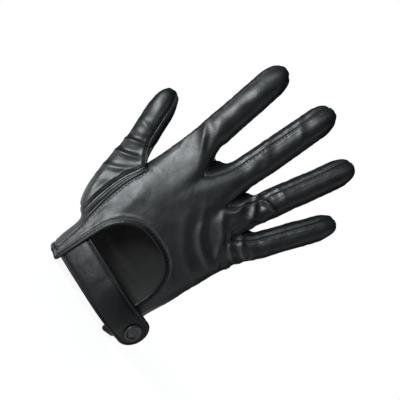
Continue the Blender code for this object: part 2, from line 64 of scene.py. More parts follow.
KEY_SPRING, KEY_TOP, KEY_POWER = 0.026, 0.0552, 2.5
SECTION_POWER, SEAM_AT = 2.3, 0.93
STRAP_LOW, STRAP_HIGH = 0.0028, 0.0244
# Silhouette of the hand: height, thumb side, little-finger side, back, palm.
SECTIONS = [
    (0.000, -0.0352, 0.0335, 0.0205, 0.0190),
    (0.012, -0.0375, 0.0338, 0.0200, 0.0185),
    (0.025, -0.0395, 0.0343, 0.0190, 0.0180),
    (0.037, -0.0425, 0.0350, 0.0180, 0.0176),
    (0.050, -0.0450, 0.0356, 0.0170, 0.0170),
    (0.062, -0.0462, 0.0360, 0.0161, 0.0162),
    (0.075, -0.0452, 0.0365, 0.0153, 0.0150),
    (0.088, -0.0448, 0.0378, 0.0145, 0.0134),
    (0.104, -0.0462, 0.0405, 0.0130, 0.0115),
]
# Finger roots on the back and in the palm: (column, x, z).
BACK_ROOT = [(0, -0.0440, 0.105), (2, -0.0325, 0.107), (4, -0.0200, 0.101),
             (6, -0.0085, 0.107), (8, 0.0034, 0.103), (10, 0.0130, 0.105),
             (12, 0.0222, 0.0950), (14, 0.0308, 0.0950), (16, 0.0386, 0.0895)]
PALM_ROOT = [(0, -0.0440, 0.107), (2, -0.0330, 0.112), (4, -0.0212, 0.111),
             (6, -0.0088, 0.115), (8, 0.0034, 0.113), (10, 0.0132, 0.113),
             (12, 0.0224, 0.1040), (14, 0.0310, 0.1005), (16, 0.0386, 0.0930)]
THENAR = (-0.0305, -0.0280, -0.0275, -0.0310, -0.0410)      # x of the palm's edge by the thumb
# Finger: root and tip of the centreline (x, z), half width, half thickness,
# roll in degrees, and how far the tip curls towards the palm.
FINGERS = {
    "index": ((-0.0344, 0.096), (-0.0462, 0.1808), 0.0094, 0.0091, -4, 0.006),
    "middle": ((-0.0066, 0.099), (-0.0078, 0.1922), 0.0098, 0.0091, -12, 0.005),
    "ring": ((0.0130, 0.097), (0.0288, 0.1850), 0.0092, 0.0087, -15, 0.006),
    "little": ((0.0296, 0.088), (0.0536, 0.1563), 0.0086, 0.0080, -18, 0.007),
}
NAMES = list(FINGERS)
CROTCH_RISE = (0.0005, 0.0045, 0.0035)      # each crotch's height over the palm's root
CROTCH_DIPS = ((ROWS - 1, 0.0008), (ROWS, 0.0022))      # row, and how deep it dips there
FINGER_RINGS = (0.24, 0.31, 0.39, 0.47, 0.58, 0.70, 0.81)
ROUND_RINGS = (0.0, 0.60, 0.88)
FINGER_SIZE, FINGER_TAPER = 1.04, 0.07
FINGER_END, THUMB_END, THUMB_END_SIZE = 1.15, 1.3, 0.96
TIP_SEAM = (-0.26, 0.0, 0.26)
THUMB_KNUCKLE = Vector((-0.0600, 0.0090, 0.0865))
THUMB_TIP = Vector((-0.0733, 0.0130, 0.1155))
THUMB_HALF, THUMB_THICK, THUMB_ROLL = 0.0090, 0.0090, 30
THUMB_BASE_RINGS = (0.13, 0.27, 0.40, 0.55, 0.70, 0.85)
THUMB_RINGS = (0.0, 0.25, 0.50)
THUMB_LEAVES, LEAVE_PULL, ARRIVE_PULL = (-0.93, 0.10, 0.30), 0.95, 0.80
RING_SEAM = 0.55            # height of a ring's seams, as a share of its thickness
RING = [(-0.80, RING_SEAM), (-0.45, 0.93), (0.0, 1.05), (0.45, 0.93), (0.80, RING_SEAM),
        (1.02, 0.0),
        (0.80, -RING_SEAM), (0.45, -0.95), (0.0, -1.02), (-0.45, -0.95), (-0.80, -RING_SEAM),
        (-1.02, 0.0)]

# ---- the leather ----
LEVELS = 4                  # subdivisions of the cage
LEATHER = 0.0009
SEAM_OPEN = 0.00008         # how far a panel's edge stays back from its seam
SEAM_TURN = 0.00020         # how far its turned-in edge reaches under the next panel
# Ridges and grooves beside the seams and the open edges: height in metres, then
# distance from the line and width in millimetres.
SEAM_PUFF, STITCH_GROOVE = (0.00022, 2.5, 1.0), (-0.00014, 1.4, 0.4)
SEAM_GROOVE = (-0.00055, 0.0, 0.5)
EDGE_PUFF, EDGE_GROOVE = (0.00022, 4.8, 1.0), (-0.00030, 3.3, 0.5)
WAVE, WAVE_HEIGHT = 0.013, 0.00036          # slow unevenness of the leather
RIPPLE, RIPPLE_HEIGHT = 0.0055, 0.00006
PUCKER, PUCKER_SHARE = 0.0030, 0.9          # how the puffs come and go along a seam
WEAR_REACH = 1.3            # millimetres from an edge over which it is rubbed paler
STITCH_IN = 0.0014          # a row of stitches, inside the panel's edge
STITCH_PITCH, STITCH_LENGTH, STITCH_RADIUS = 0.0024, 0.0015, 0.00024
STITCH_REACH = 0.0015       # a stitch further than this from its panel is left out
FOURCHETTES = [f"fourchette_{a}_{b}" for a, b in zip(NAMES, NAMES[1:])]
PANELS = ["back", "palm", *FOURCHETTES, "thumb_back", "thumb_palm"]
DIGITS = ["hand", *NAMES, "thumb"]


# ---- the hand's cage ----
def between(table, at, column):
    """Value of a column of a table at a height, straight between its lines."""
    for low, high in zip(table, table[1:]):
        if at <= high[0]:
            break
    share = max(0.0, min(1.0, (at - low[0]) / (high[0] - low[0])))
    return low[column] + share * (high[column] - low[column])


def section(z):
    """Middle, half width, back height and palm height of the hand at z."""
    left, right, back, palm = (between(SECTIONS, z, column) for column in (1, 2, 3, 4))
    return (left + right) / 2, (right - left) / 2, back, palm


def on_hand(x, z, side):
    """The point of the hand's skin over (x, z): side -1 is the back, +1 the palm."""
    middle, half, back, palm = section(z)
    inside = max(0.0, 1 - min(1.0, abs(x - middle) / half) ** SECTION_POWER)
    height = inside ** (1 / SECTION_POWER)
    return Vector((x, (palm if side > 0 else -back) * height, z))


def keyhole_edge(step, steps):
    """(x, z) on the keyhole's arch, from its thumb side over to the other."""
    turn = pi * (1 - step / steps)
    across, up = (abs(part) ** (2 / KEY_POWER) for part in (cos(turn), sin(turn)))
    x = KEY_HALF * across * (1 if cos(turn) > 0 else -1)
    return KEY_MIDDLE + x, KEY_SPRING + (KEY_TOP - KEY_SPRING) * up


def relaxed(grid, fixed, rounds=80):
    """Evens out a grid of (x, z) points whose fixed ones stay put."""
    for _ in range(rounds):
        for (row, column), (x, z) in grid.items():
            if (row, column) in fixed:
                continue
            around = [grid[k] for k in ((row - 1, column), (row + 1, column),
                                        (row, column - 1), (row, column + 1)) if k in grid]
            grid[row, column] = (sum(p[0] for p in around) / len(around),
                                 sum(p[1] for p in around) / len(around))
    return grid


def fit_keyhole(grid, fixed):
    """Fits the back's grid to the keyhole's edge, and empties the keyhole."""
    low, high = KEY_COLUMNS
    edge = [(r, low) for r in range(2, KEY_ROW)]
    edge += [(KEY_ROW, c) for c in range(low, high + 1)]
    edge += [(r, high) for r in range(KEY_ROW - 1, 1, -1)]
    for step, key in enumerate(edge):
        grid[key] = keyhole_edge(step, len(edge) - 1)
    for row in (0, 1):
        grid[row, low] = (KEY_MIDDLE - KEY_HALF, row * ROW)
        grid[row, high] = (KEY_MIDDLE + KEY_HALF, row * ROW)
        fixed |= {(row, low), (row, high)}
    fixed.update(edge)
    for column in (1, COLUMNS - 1):
        grid[0, column] = ((grid[0, column - 1][0] + grid[0, column + 1][0]) / 2, 0)
    for key in [(r, c) for r in range(KEY_ROW) for c in range(low + 1, high)]:
        del grid[key]


def hand_grid(side):
    """(row, column) -> point of one side of the hand, keyhole left out."""
    root = BACK_ROOT if side < 0 else PALM_ROOT
    grid, fixed = {}, set()
    for row in range(ROWS + 1):
        for column in range(COLUMNS + 1):
            z = min(row, LEVEL_ROWS) * ROW
            middle, half, _, _ = section(z)
            x = middle + SEAM_AT * half * (column / (COLUMNS / 2) - 1)
            if side > 0 and column == 0 and THUMB_ROWS[0] <= row <= THUMB_ROWS[1]:
                x = THENAR[row - THUMB_ROWS[0]]
            if row > LEVEL_ROWS:
                share = (row - LEVEL_ROWS) / (ROWS - LEVEL_ROWS)
                x += share * (between(root, column, 1) - x)
                z += share * (between(root, column, 2) - z)
            grid[row, column] = (x, z)
            if row in (0, ROWS) or column in (0, COLUMNS):
                fixed.add((row, column))
    if side < 0:
        fit_keyhole(grid, fixed)
    points = {key: on_hand(x, z, side) for key, (x, z) in relaxed(grid, fixed).items()}
    for row, dip in CROTCH_DIPS:
        for column in (4, 8, 12):
            points[row, column].y -= side * dip
    return points


def ring_points(centre, direction, half, thick, roll, close=1.0):
    """The twelve points of a ring; close draws its seams together."""
    side = Vector((0, 1, 0)).cross(direction).normalized()
    back = side.cross(direction).normalized()
    turn = Matrix.Rotation(radians(roll), 3, -direction)
    side, back = turn @ side, turn @ back
    points = []
    for across, height in RING:
        if abs(height) == RING_SEAM:
            height *= close
        points.append(centre + side * across * half + back * height * thick)
    return points, side


def rounded_rings(place, direction, half, thick, roll, start, length):
    """Rings of the round end of a finger, and the points along its tip seam."""
    rings = []
    for share in ROUND_RINGS:
        size = sqrt(1 - share ** 2)
        ring, side = ring_points(place(start + share * length), direction, half * size,
                                 thick * size, roll, close=0.8 - 0.3 * share)
        rings.append(ring)
    tip = place(start + length)
    return rings, [tip + side * across * half for across in TIP_SEAM]


def finger(name):
    """Rings of a finger from its base to its round end, and its tip seam."""
    (x0, z0), (x1, z1), half, thick, roll, curl = FINGERS[name]
    root, tip = Vector((x0, 0, z0)), Vector((x1, 0, z1))

    def place(share):
        return root.lerp(tip, share) + Vector((0, curl * share * share, 0))

    def heading(share):
        return (place(share + 0.01) - place(share - 0.01)).normalized()

    def measures(share):
        size = FINGER_SIZE - FINGER_TAPER * share
        return half * size, thick * size, roll

    rings = [ring_points(place(share), heading(share), *measures(share))[0]
             for share in FINGER_RINGS]
    end = 1 - FINGER_END * half / (tip - root).length
    last, seam = rounded_rings(place, heading(0.97), *measures(0.9), end, 1 - end)
    return rings + last, seam


def thumb(loop):
    """The thumb's rings, from its loop in the side of the hand to its tip."""
    line = (THUMB_TIP - THUMB_KNUCKLE).normalized()
    length = (THUMB_TIP - THUMB_KNUCKLE).length

    def place(share):
        return THUMB_KNUCKLE + line * length * share

    near_end, _ = ring_points(THUMB_KNUCKLE, line, THUMB_HALF, THUMB_THICK, THUMB_ROLL)
    rings = []
    for s in THUMB_BASE_RINGS:
        ring = []
        for index, (low, high) in enumerate(zip(loop, near_end)):
            reach = (high - low).length
            x, y, z = THUMB_LEAVES
            leave = Vector((x, y if index > 5 else -y, z)) * reach * LEAVE_PULL
            arrive = line * reach * ARRIVE_PULL
            ring.append(low * (1 - 3 * s ** 2 + 2 * s ** 3) + high * (3 * s ** 2 - 2 * s ** 3)
                        + leave * (s - 2 * s ** 2 + s ** 3) + arrive * (s ** 3 - s ** 2))
        rings.append(ring)
    rings += [ring_points(place(s), line, THUMB_HALF, THUMB_THICK, THUMB_ROLL)[0]
              for s in THUMB_RINGS]
    end = 1 - THUMB_END * THUMB_HALF / length
    last, seam = rounded_rings(place, line, THUMB_HALF * THUMB_END_SIZE,
                               THUMB_THICK * THUMB_END_SIZE, THUMB_ROLL, end, 1 - end)
    return rings + last, seam


class Cage:
    """Named points, and faces that know their panel and their digit."""

    def __init__(self):
        self.points = {}
        self.faces = []

    def face(self, panel, digit, *names):
        self.faces.append((names, PANELS.index(panel), DIGITS.index(digit)))

    def name_rings(self, label, rings):
        named = []
        for k, ring in enumerate(rings):
            named.append([(label, k, i) for i in range(12)])
            self.points.update(zip(named[-1], ring))
        return named

    def tube(self, rings, panel_of, digit):
        for low, high in zip(rings, rings[1:]):
            for i in range(12):
                j = (i + 1) % 12
                self.face(panel_of(i), digit, low[i], low[j], high[j], high[i])

    def tip(self, label, ring, seam, back, palm):
        """Closes a finger: its back and its palm meet along the tip seam."""
        names = [(label + "_seam", i) for i in range(3)]
        self.points.update(zip(names, seam))
        line = [ring[11], *names, ring[5]]
        for i in range(4):
            self.face(back, label, ring[i], ring[i + 1], line[i + 1], line[i])
            self.face(palm, label, line[i], line[i + 1], ring[9 - i], ring[10 - i])


def hand_faces(cage, back, palm):
    """The faces of the hand below the fingers, round the thumb's loop."""
    first, last = THUMB_ROWS
    for row in range(ROWS + 1):
        for label, column, sign in (("t", 0, -1), ("u", 16, 1)):
            if label == "t" and first < row < last:
                continue
            a, b = back[row, column], palm[row, column]
            middle, half, _, _ = section((a.z + b.z) / 2)
            at = (a + b) / 2
            cage.points[label, row] = Vector((middle + sign * half, at.y, at.z))
    for row in range(ROWS):
        for c in range(COLUMNS):
            open_here = row < KEY_ROW and KEY_COLUMNS[0] <= c < KEY_COLUMNS[1]
            if not open_here:
                cage.face("back", "hand", ("b", row, c), ("b", row, c + 1),
                          ("b", row + 1, c + 1), ("b", row + 1, c))
            cage.face("palm", "hand", ("p", row, c + 1), ("p", row, c),
                      ("p", row + 1, c), ("p", row + 1, c + 1))
        cage.face("back", "hand", ("b", row, 16), ("u", row), ("u", row + 1), ("b", row + 1, 16))
        cage.face("palm", "hand", ("u", row), ("p", row, 16), ("p", row + 1, 16), ("u", row + 1))
        if not first <= row < last:
            side = "palm" if row < first else "back"
            cage.face("palm", "hand", ("p", row, 0), ("t", row), ("t", row + 1), ("p", row + 1, 0))
            cage.face(side, "hand", ("t", row), ("b", row, 0), ("b", row + 1, 0), ("t", row + 1))


def build_cage():
    """The whole glove's outer skin as a cage."""
    cage = Cage()
    back, palm = hand_grid(-1), hand_grid(1)
    cage.points.update({("b", *key): p for key, p in back.items()})
    cage.points.update({("p", *key): p for key, p in palm.items()})
    hand_faces(cage, back, palm)
    for f in range(3):
        a, b = back[ROWS, 4 * f + 4], palm[ROWS, 4 * f + 4]
        cage.points["m", f] = Vector(((a.x + b.x) / 2, 0.001, b.z + CROTCH_RISE[f]))
    for f, name in enumerate(NAMES):
        rings, seam = finger(name)
        root = [("b", ROWS, 4 * f + i) for i in range(5)]
        root.append(("m", f) if f < 3 else ("u", ROWS))
        root += [("p", ROWS, 4 * f + 4 - i) for i in range(5)]
        root.append(("m", f - 1) if f > 0 else ("t", ROWS))
        left = f"fourchette_{NAMES[f - 1]}_{name}" if f else None
        right = f"fourchette_{name}_{NAMES[f + 1]}" if f < 3 else None

        def panel_of(i, left=left, right=right):
            if i in (4, 5):
                return right or ("back", "palm")[i - 4]
            if i in (10, 11):
                return left or ("palm", "back")[i - 10]
            return "back" if i < 4 else "palm"

        named = cage.name_rings(name, rings)
        cage.tube([root, named[0]], panel_of, "hand")
        cage.tube(named, panel_of, name)
        cage.tip(name, named[-1], seam, "back", "palm")
    first, last = THUMB_ROWS
    loop = [("b", r, 0) for r in range(first, last + 1)] + [("t", last)]
    loop += [("p", r, 0) for r in range(last, first - 1, -1)] + [("t", first)]
    rings, seam = thumb([cage.points[n] for n in loop])
    named = cage.name_rings("thumb", rings)
    cage.tube([loop, named[0]], lambda i: "thumb_palm" if 6 <= i <= 9 else "palm", "hand")
    cage.tube(named, lambda i: "thumb_back" if i in (0, 1, 2, 3, 11) else "thumb_palm", "thumb")
    cage.tip("thumb", named[-1], seam, "thumb_back", "thumb_palm")
    return cage


# ---- the skin: the cage subdivided ----
def unit(rows):
    return rows / np.maximum(np.linalg.norm(rows, axis=1, keepdims=True), 1e-12)


def point_normals(points, quads):
    """Area-weighted normal at each point of a mesh of quads."""
    p = points[quads]
    areas = np.cross(p[:, 2] - p[:, 0], p[:, 3] - p[:, 1])
    total = np.zeros_like(points)
    for corner in range(4):
        np.add.at(total, quads[:, corner], areas)
    return unit(total)


class Skin:
    """The whole outer surface: points, quads, and each quad's panel and digit."""

    def __init__(self, points, quads, panel, digit):
        self.points, self.quads, self.panel, self.digit = points, quads, panel, digit

    def edges(self):
        """Each edge's two ends, its first face, and its second face or -1."""
        ends = np.concatenate([self.quads[:, [i, (i + 1) % 4]] for i in range(4)])
        faces = np.tile(np.arange(len(self.quads)), 4)
        key = np.sort(ends, axis=1)
        order = np.lexsort((key[:, 1], key[:, 0]))
        key, faces = key[order], faces[order]
        same = np.all(key[1:] == key[:-1], axis=1)
        first = np.flatnonzero(np.concatenate([[True], ~same]))
        paired = np.concatenate([same, [False]])[first]
        second = np.where(paired, faces[np.minimum(first + 1, len(faces) - 1)], -1)
        return key[first], faces[first], second


def values_of(rows, key, kind):
    """A property of all a mesh's rows, as one array."""
    values = np.empty(len(rows) * (3 if key == "co" else 1), kind)
    rows.foreach_get(key, values)
    return values


def subdivided(points, faces, panel, digit, levels):
    """A cage after that many rounds of Catmull-Clark, as a skin."""
    mesh = bpy.data.meshes.new("cage")
    mesh.from_pydata([tuple(p) for p in points], [], faces)
    for name, values in (("panel", panel), ("digit", digit)):
        mesh.attributes.new(name, "INT", "FACE").data.foreach_set("value", values)
    holder = bpy.data.objects.new("cage", mesh)
    bpy.context.scene.collection.objects.link(holder)
    modifier = holder.modifiers.new("smooth", "SUBSURF")
    modifier.levels = modifier.render_levels = levels
    graph = bpy.context.evaluated_depsgraph_get()
    fine = bpy.data.meshes.new_from_object(holder.evaluated_get(graph),
                                           preserve_all_data_layers=True, depsgraph=graph)
    skin = Skin(values_of(fine.vertices, "co", float).reshape(-1, 3),
                values_of(fine.loops, "vertex_index", int).reshape(-1, 4),
                *(values_of(fine.attributes[name].data, "value", int)
                  for name in ("panel", "digit")))
    bpy.data.objects.remove(holder)
    for used_up in (fine, mesh):
        bpy.data.meshes.remove(used_up)
    return skin


def build_skin():
    """The cage as a smooth skin, grown so that it passes near the cage's points."""
    cage = build_cage()
    order = {name: i for i, name in enumerate(cage.points)}
    wanted = np.array([cage.points[n] for n in order])
    faces = [[order[n] for n in names] for names, _, _ in cage.faces]
    panel = [p for _, p, _ in cage.faces]
    digit = [d for _, _, d in cage.faces]
    grown = wanted.copy()
    for _ in range(2):
        coarse = subdivided(grown, faces, panel, digit, 2)
        grown += 0.8 * (wanted - coarse.points[:len(wanted)])
    return subdivided(grown, faces, panel, digit, LEVELS)


# ---- creases and seams on the skin ----
def smooth_line(points, count=24):
    """A Catmull-Rom line through points."""
    p = np.array(points, float)
    p = np.vstack([2 * p[0] - p[1], p, 2 * p[-1] - p[-2]])
    line = []
    for i in range(1, len(p) - 2):
        for t in np.linspace(0, 1, count, endpoint=False):
            line.append(0.5 * (2 * p[i] + (p[i + 1] - p[i - 1]) * t
                               + (2 * p[i - 1] - 5 * p[i] + 4 * p[i + 1] - p[i + 2]) * t ** 2
                               + (3 * p[i] - p[i - 1] - 3 * p[i + 1] + p[i + 2]) * t ** 3))
    line.append(p[-2])
    return np.array(line)


def along_line(flat, points):
    """Signed distance of flat points from a line, and how far along it they lie."""
    line = smooth_line(points)
    start, step = line[:-1], np.diff(line, axis=0)
    length = np.maximum(np.linalg.norm(step, axis=1), 1e-9)
    reached = np.concatenate([[0], np.cumsum(length)])
    best = np.full(len(flat), 1e9)
    share = np.zeros(len(flat))
    for i in range(len(start)):
        rel = flat - start[i]
        t = np.clip((rel @ step[i]) / length[i] ** 2, 0, 1)
        off = rel - t[:, None] * step[i]
        distance = np.linalg.norm(off, axis=1)
        side = np.where(step[i, 0] * rel[:, 1] - step[i, 1] * rel[:, 0] >= 0, 1.0, -1.0)
        closer = distance < np.abs(best)
        best = np.where(closer, distance * side, best)
        share = np.where(closer, (reached[i] + t * length[i]) / reached[-1], share)
    return best, share


# A fold: its line on the hand (x, z in millimetres), width and height in
# millimetres, and its trough's depth as a share, below zero for the right side.
BACK_FOLDS = [
    ([(-48, 122), (-40, 114), (-31, 106)], 1.8, 0.85, 0.7),
    ([(-49, 113), (-45, 105), (-42, 98)], 1.9, 0.55, 0.6),
    ([(-41, 126), (-34, 118), (-28, 113)], 2.4, 0.30, -0.6),
    ([(-19, 172), (-12, 168), (-3, 164)], 2.4, 0.55, 0.5),
    ([(-18, 150), (-13, 144), (-8, 141)], 2.4, 0.50, 0.8),
    ([(4, 100), (9, 107), (8, 114), (9, 120), (14, 125), (21, 127), (28, 127)], 1.5, 1.70, 0.3),
    ([(3, 126), (9, 122), (13, 118), (17, 113), (19, 106)], 1.8, 1.10, 0.3),
    ([(12, 108), (17, 112), (22, 117), (29, 118)], 1.6, 0.80, -0.3),
    ([(9, 134), (15, 137), (23, 136)], 1.9, 0.50, -0.6),
    ([(-4, 92), (2, 86), (10, 79), (23, 75), (36, 75)], 2.6, 1.25, 0.8),
    ([(2, 102), (9, 96), (17, 91), (27, 81), (37, 77)], 2.2, 1.15, 0.9),
    ([(12, 101), (20, 95), (29, 90), (39, 89)], 1.7, 0.90, 0.9),
    ([(-10, 84), (0, 74), (10, 68), (24, 64), (37, 63)], 3.4, 0.55, 0.7),
    ([(24, 102), (31, 97), (40, 96)], 1.5, 0.80, 0.9),
    ([(-33, 23), (-37, 29), (-39, 39), (-38, 50)], 1.7, 0.55, -0.6),
    ([(-31, 44), (-33, 58), (-37, 72)], 4.0, 0.35, -0.5),
    ([(33, 108), (38, 112), (46, 113)], 2.2, 0.35, 0.6),
]
THUMB_FOLDS = [
    ([(-69, 70), (-62, 77), (-54, 83)], 1.5, 1.10, 0.9),
    ([(-66, 63), (-58, 69), (-50, 76)], 1.5, 1.20, 0.9),
    ([(-62, 52), (-53, 61), (-45, 73)], 1.8, 0.90, 0.8),
    ([(-73, 85), (-66, 89), (-58, 90)], 2.0, 0.50, 0.8),
    ([(-57, 45), (-50, 54), (-44, 64)], 2.4, 0.40, -0.7),
]
PALM_FOLDS = [
    ([(-34, 92), (-20, 84), (0, 82), (20, 76), (34, 72)], 2.4, -1.00, 0.5),
    ([(-36, 78), (-24, 70), (-8, 60), (2, 44), (4, 26)], 2.6, -1.10, 0.5),
    ([(-30, 88), (-12, 74), (10, 66), (30, 62)], 2.2, -0.75, 0.5),
    ([(-46, 122), (-38, 120), (-30, 122)], 1.6, 0.80, 0.9),
    ([(-16, 125), (-7, 123), (2, 125)], 1.6, 0.80, 0.9),
    ([(8, 121), (16, 119), (25, 120)], 1.6, 0.80, 0.9),
    ([(26, 107), (34, 106), (42, 106)], 1.6, 0.75, 0.9),
    ([(-50, 139), (-41, 137), (-31, 139)], 1.7, 0.80, 0.9),
    ([(-18, 145), (-7, 143), (3, 145)], 1.7, 0.80, 0.9),
    ([(10, 141), (20, 139), (29, 139)], 1.7, 0.80, 0.9),
    ([(32, 123), (40, 121), (48, 121)], 1.5, 0.70, 0.9),
    ([(-22, 30), (-8, 27), (10, 28), (26, 32)], 2.4, 0.70, 0.8),
    ([(-26, 18), (-6, 15), (14, 16), (30, 20)], 2.2, 0.55, 0.8),
]
# A swelling or, below zero, a dent: its place (x, z), radius and height in millimetres.
BACK_SWELLS = [
    (-35, 94, 9, -0.9), (-31, 64, 13, 0.9), (-44, 157, 6, 0.8), (-40, 147, 5, -1.0),
    (-45, 169, 5, -0.6), (-38, 134, 6, -0.7), (-42, 127, 5, 0.5), (-13, 142, 3.2, 0.7),
    (-7, 136, 3.6, -0.9), (-10, 156, 5, -0.4), (-8, 178, 5, 0.3), (14, 121, 2.6, -1.2),
    (13, 112, 3.0, -1.1), (8, 129, 2.4, -0.9), (21, 148, 5, -0.4), (26, 164, 5, 0.35),
    (41, 124, 5, -0.4), (46, 137, 4, 0.3), (-20, 88, 9, 0.5), (4, 66, 10, -0.5),
    (20, 101, 4, -0.7), (30, 92, 3, 0.5),
]
CROTCH_SWELLS = [(-20, 113.5, 3.6, 2.0), (5.5, 119, 3.4, 1.6), (25.5, 108.5, 2.8, 1.1)]
EDGE_SWELLS = [
    (37, 83, 3.2, 1.1), (38.5, 91.5, 2.8, 1.1), (40, 99.5, 2.8, 0.9), (44, 107, 2.6, 0.4),
]


def swells(points, mask, table):
    """Height of a table's swellings at each point, in metres."""
    height = np.zeros(len(points))
    for x, z, radius, tall in table:
        away = ((points[:, 0] * 1000 - x) ** 2 + (points[:, 2] * 1000 - z) ** 2) / radius ** 2
        height += tall * np.exp(-away)
    return height * mask / 1000


def folds(points, facing, table):
    """Height of a table's folds at each point, in metres; facing masks them."""
    flat = points[:, [0, 2]] * 1000
    height = np.zeros(len(points))
    for line, width, tall, trough in table:
        corner = np.array(line)
        reach = 4 * width
        near = np.all((flat > corner.min(0) - reach) & (flat < corner.max(0) + reach), axis=1)
        near &= facing > 0
        if not near.any():
            continue
        distance, share = along_line(flat[near], line)
        taper = np.sin(pi * np.clip(share, 0.02, 0.98)) ** 0.6
        ridge = np.exp(-(distance / width) ** 2)
        side = 2.1 * width * (1 if trough > 0 else -1)
        valley = abs(trough) * np.exp(-((distance - side) / (1.5 * width)) ** 2)
        height[near] += tall * taper * (ridge - valley) * facing[near]
    return height / 1000


def smoothstep(value, low, high):
    t = np.clip((value - low) / (high - low), 0, 1)
    return t * t * (3 - 2 * t)


def kd_tree(points):
    """A search tree of points."""
    tree = KDTree(len(points))
    for i, p in enumerate(points):
        tree.insert(p, i)
    tree.balance()
    return tree


def nearest_distance(points, targets):
    """Distance from each point to the nearest target."""
    tree = kd_tree(targets)
    return np.array([tree.find(p)[2] for p in points])


def dense(points, ends, count=4):
    """Points along edges, close together."""
    a, b = points[ends[:, 0]], points[ends[:, 1]]
    return np.concatenate([a + (b - a) * t for t in np.linspace(0, 1, count, endpoint=False)])


def fbm(points, size, seed):
    """Smooth noise of about unit height, with features of that size."""
    shift = Vector((seed * 7.1, seed * 3.7, seed * 5.3))
    return np.array([noise.noise(Vector(p) / size + shift) for p in points])


def beside(distance, height, at, width):
    """Height of a ridge, or a groove below zero, at each distance from its line."""
    return height * np.exp(-((distance * 1000 - at) / width) ** 2)


def folded(points, normal, on_thumb, edge_far):
    """Height of every fold, swelling and dent, fading out at the open edges."""
    back = smoothstep(-normal[:, 1], 0.0, 0.35)
    palm = smoothstep(normal[:, 1], 0.0, 0.35)
    thumb_back = smoothstep(-normal[:, 1], -0.3, 0.2)
    ulnar = smoothstep(normal[:, 0], 0.1, 0.7)
    height = folds(points, back * ~on_thumb, BACK_FOLDS)
    height += folds(points, thumb_back * on_thumb, THUMB_FOLDS)
    height += folds(points, palm * ~on_thumb, PALM_FOLDS)
    height += swells(points, back * ~on_thumb, BACK_SWELLS)
    height += swells(points, ulnar * ~on_thumb, EDGE_SWELLS)
    height += swells(points, 1 - back, CROTCH_SWELLS)
    return height * smoothstep(edge_far, 0.002, 0.010)


def crease(skin):
    """Folds the leather, puffs it beside its seams and sinks the seams."""
    points, normal = skin.points, point_normals(skin.points, skin.quads)
    ends, first, second = skin.edges()
    inner = second >= 0
    seam = inner & (skin.panel[first] != skin.panel[np.maximum(second, 0)])
    seam_far = nearest_distance(points, dense(points, ends[seam]))
    edge_far = nearest_distance(points, dense(points, ends[~inner]))
    on_thumb = np.zeros(len(points), bool)
    on_thumb[np.unique(skin.quads[skin.digit == DIGITS.index("thumb")])] = True
    height = folded(points, normal, on_thumb, edge_far)
    height += fbm(points, WAVE, 1) * WAVE_HEIGHT * smoothstep(edge_far, 0.0, 0.008)
    height += fbm(points, RIPPLE, 2) * RIPPLE_HEIGHT
    pucker = 1 + PUCKER_SHARE * fbm(points, PUCKER, 3)
    height += pucker * (beside(seam_far, *SEAM_PUFF) + beside(edge_far, *EDGE_PUFF))
    for distance, groove in ((seam_far, STITCH_GROOVE), (seam_far, SEAM_GROOVE),
                             (edge_far, EDGE_GROOVE)):
        height += beside(distance, *groove)
    skin.points = points + normal * height[:, None]
    skin.seam_far, skin.edge_far = seam_far, edge_far


# ---- panels ----
def seam_chains(ends, chosen):
    """The chosen edges joined into ordered chains of points."""
    links = {}
    for a, b in ends[chosen]:
        links.setdefault(a, []).append(b)
        links.setdefault(b, []).append(a)
    chains, seen = [], set()
    for start in [n for n in links if len(links[n]) != 2] + list(links):
        if start in seen:
            continue
        chain = [start]
        seen.add(start)
        while ways := [n for n in links[chain[-1]] if n not in seen]:
            chain.append(ways[0])
            seen.add(ways[0])
        if len(chain) > 3:
            closed = chain[0] in links[chain[-1]]
            chains.append(chain + chain[:1] * closed)
    return chains


def open_edges(quads):
    """(start, end, face) of each edge that belongs to one face only."""
    ends = np.concatenate([quads[:, [i, (i + 1) % 4]] for i in range(4)])
    faces = np.tile(np.arange(len(quads)), 4)
    pairs = {(int(a), int(b)): int(f) for (a, b), f in zip(ends, faces)}
    return [(a, b, f) for (a, b), f in pairs.items() if (b, a) not in pairs]


def inward_directions(points, quads, rim):
    """The way into the sheet at each point of its rim, and zero elsewhere."""
    inwards = np.zeros_like(points)
    middle = points[quads].mean(axis=1)
    for a, b, f in rim:
        along = points[b] - points[a]
        along /= max(np.linalg.norm(along), 1e-12)
        across = middle[f] - points[a]
        across -= along * across.dot(along)
        across /= max(np.linalg.norm(across), 1e-12)
        inwards[a] += across
        inwards[b] += across
    return unit(inwards)


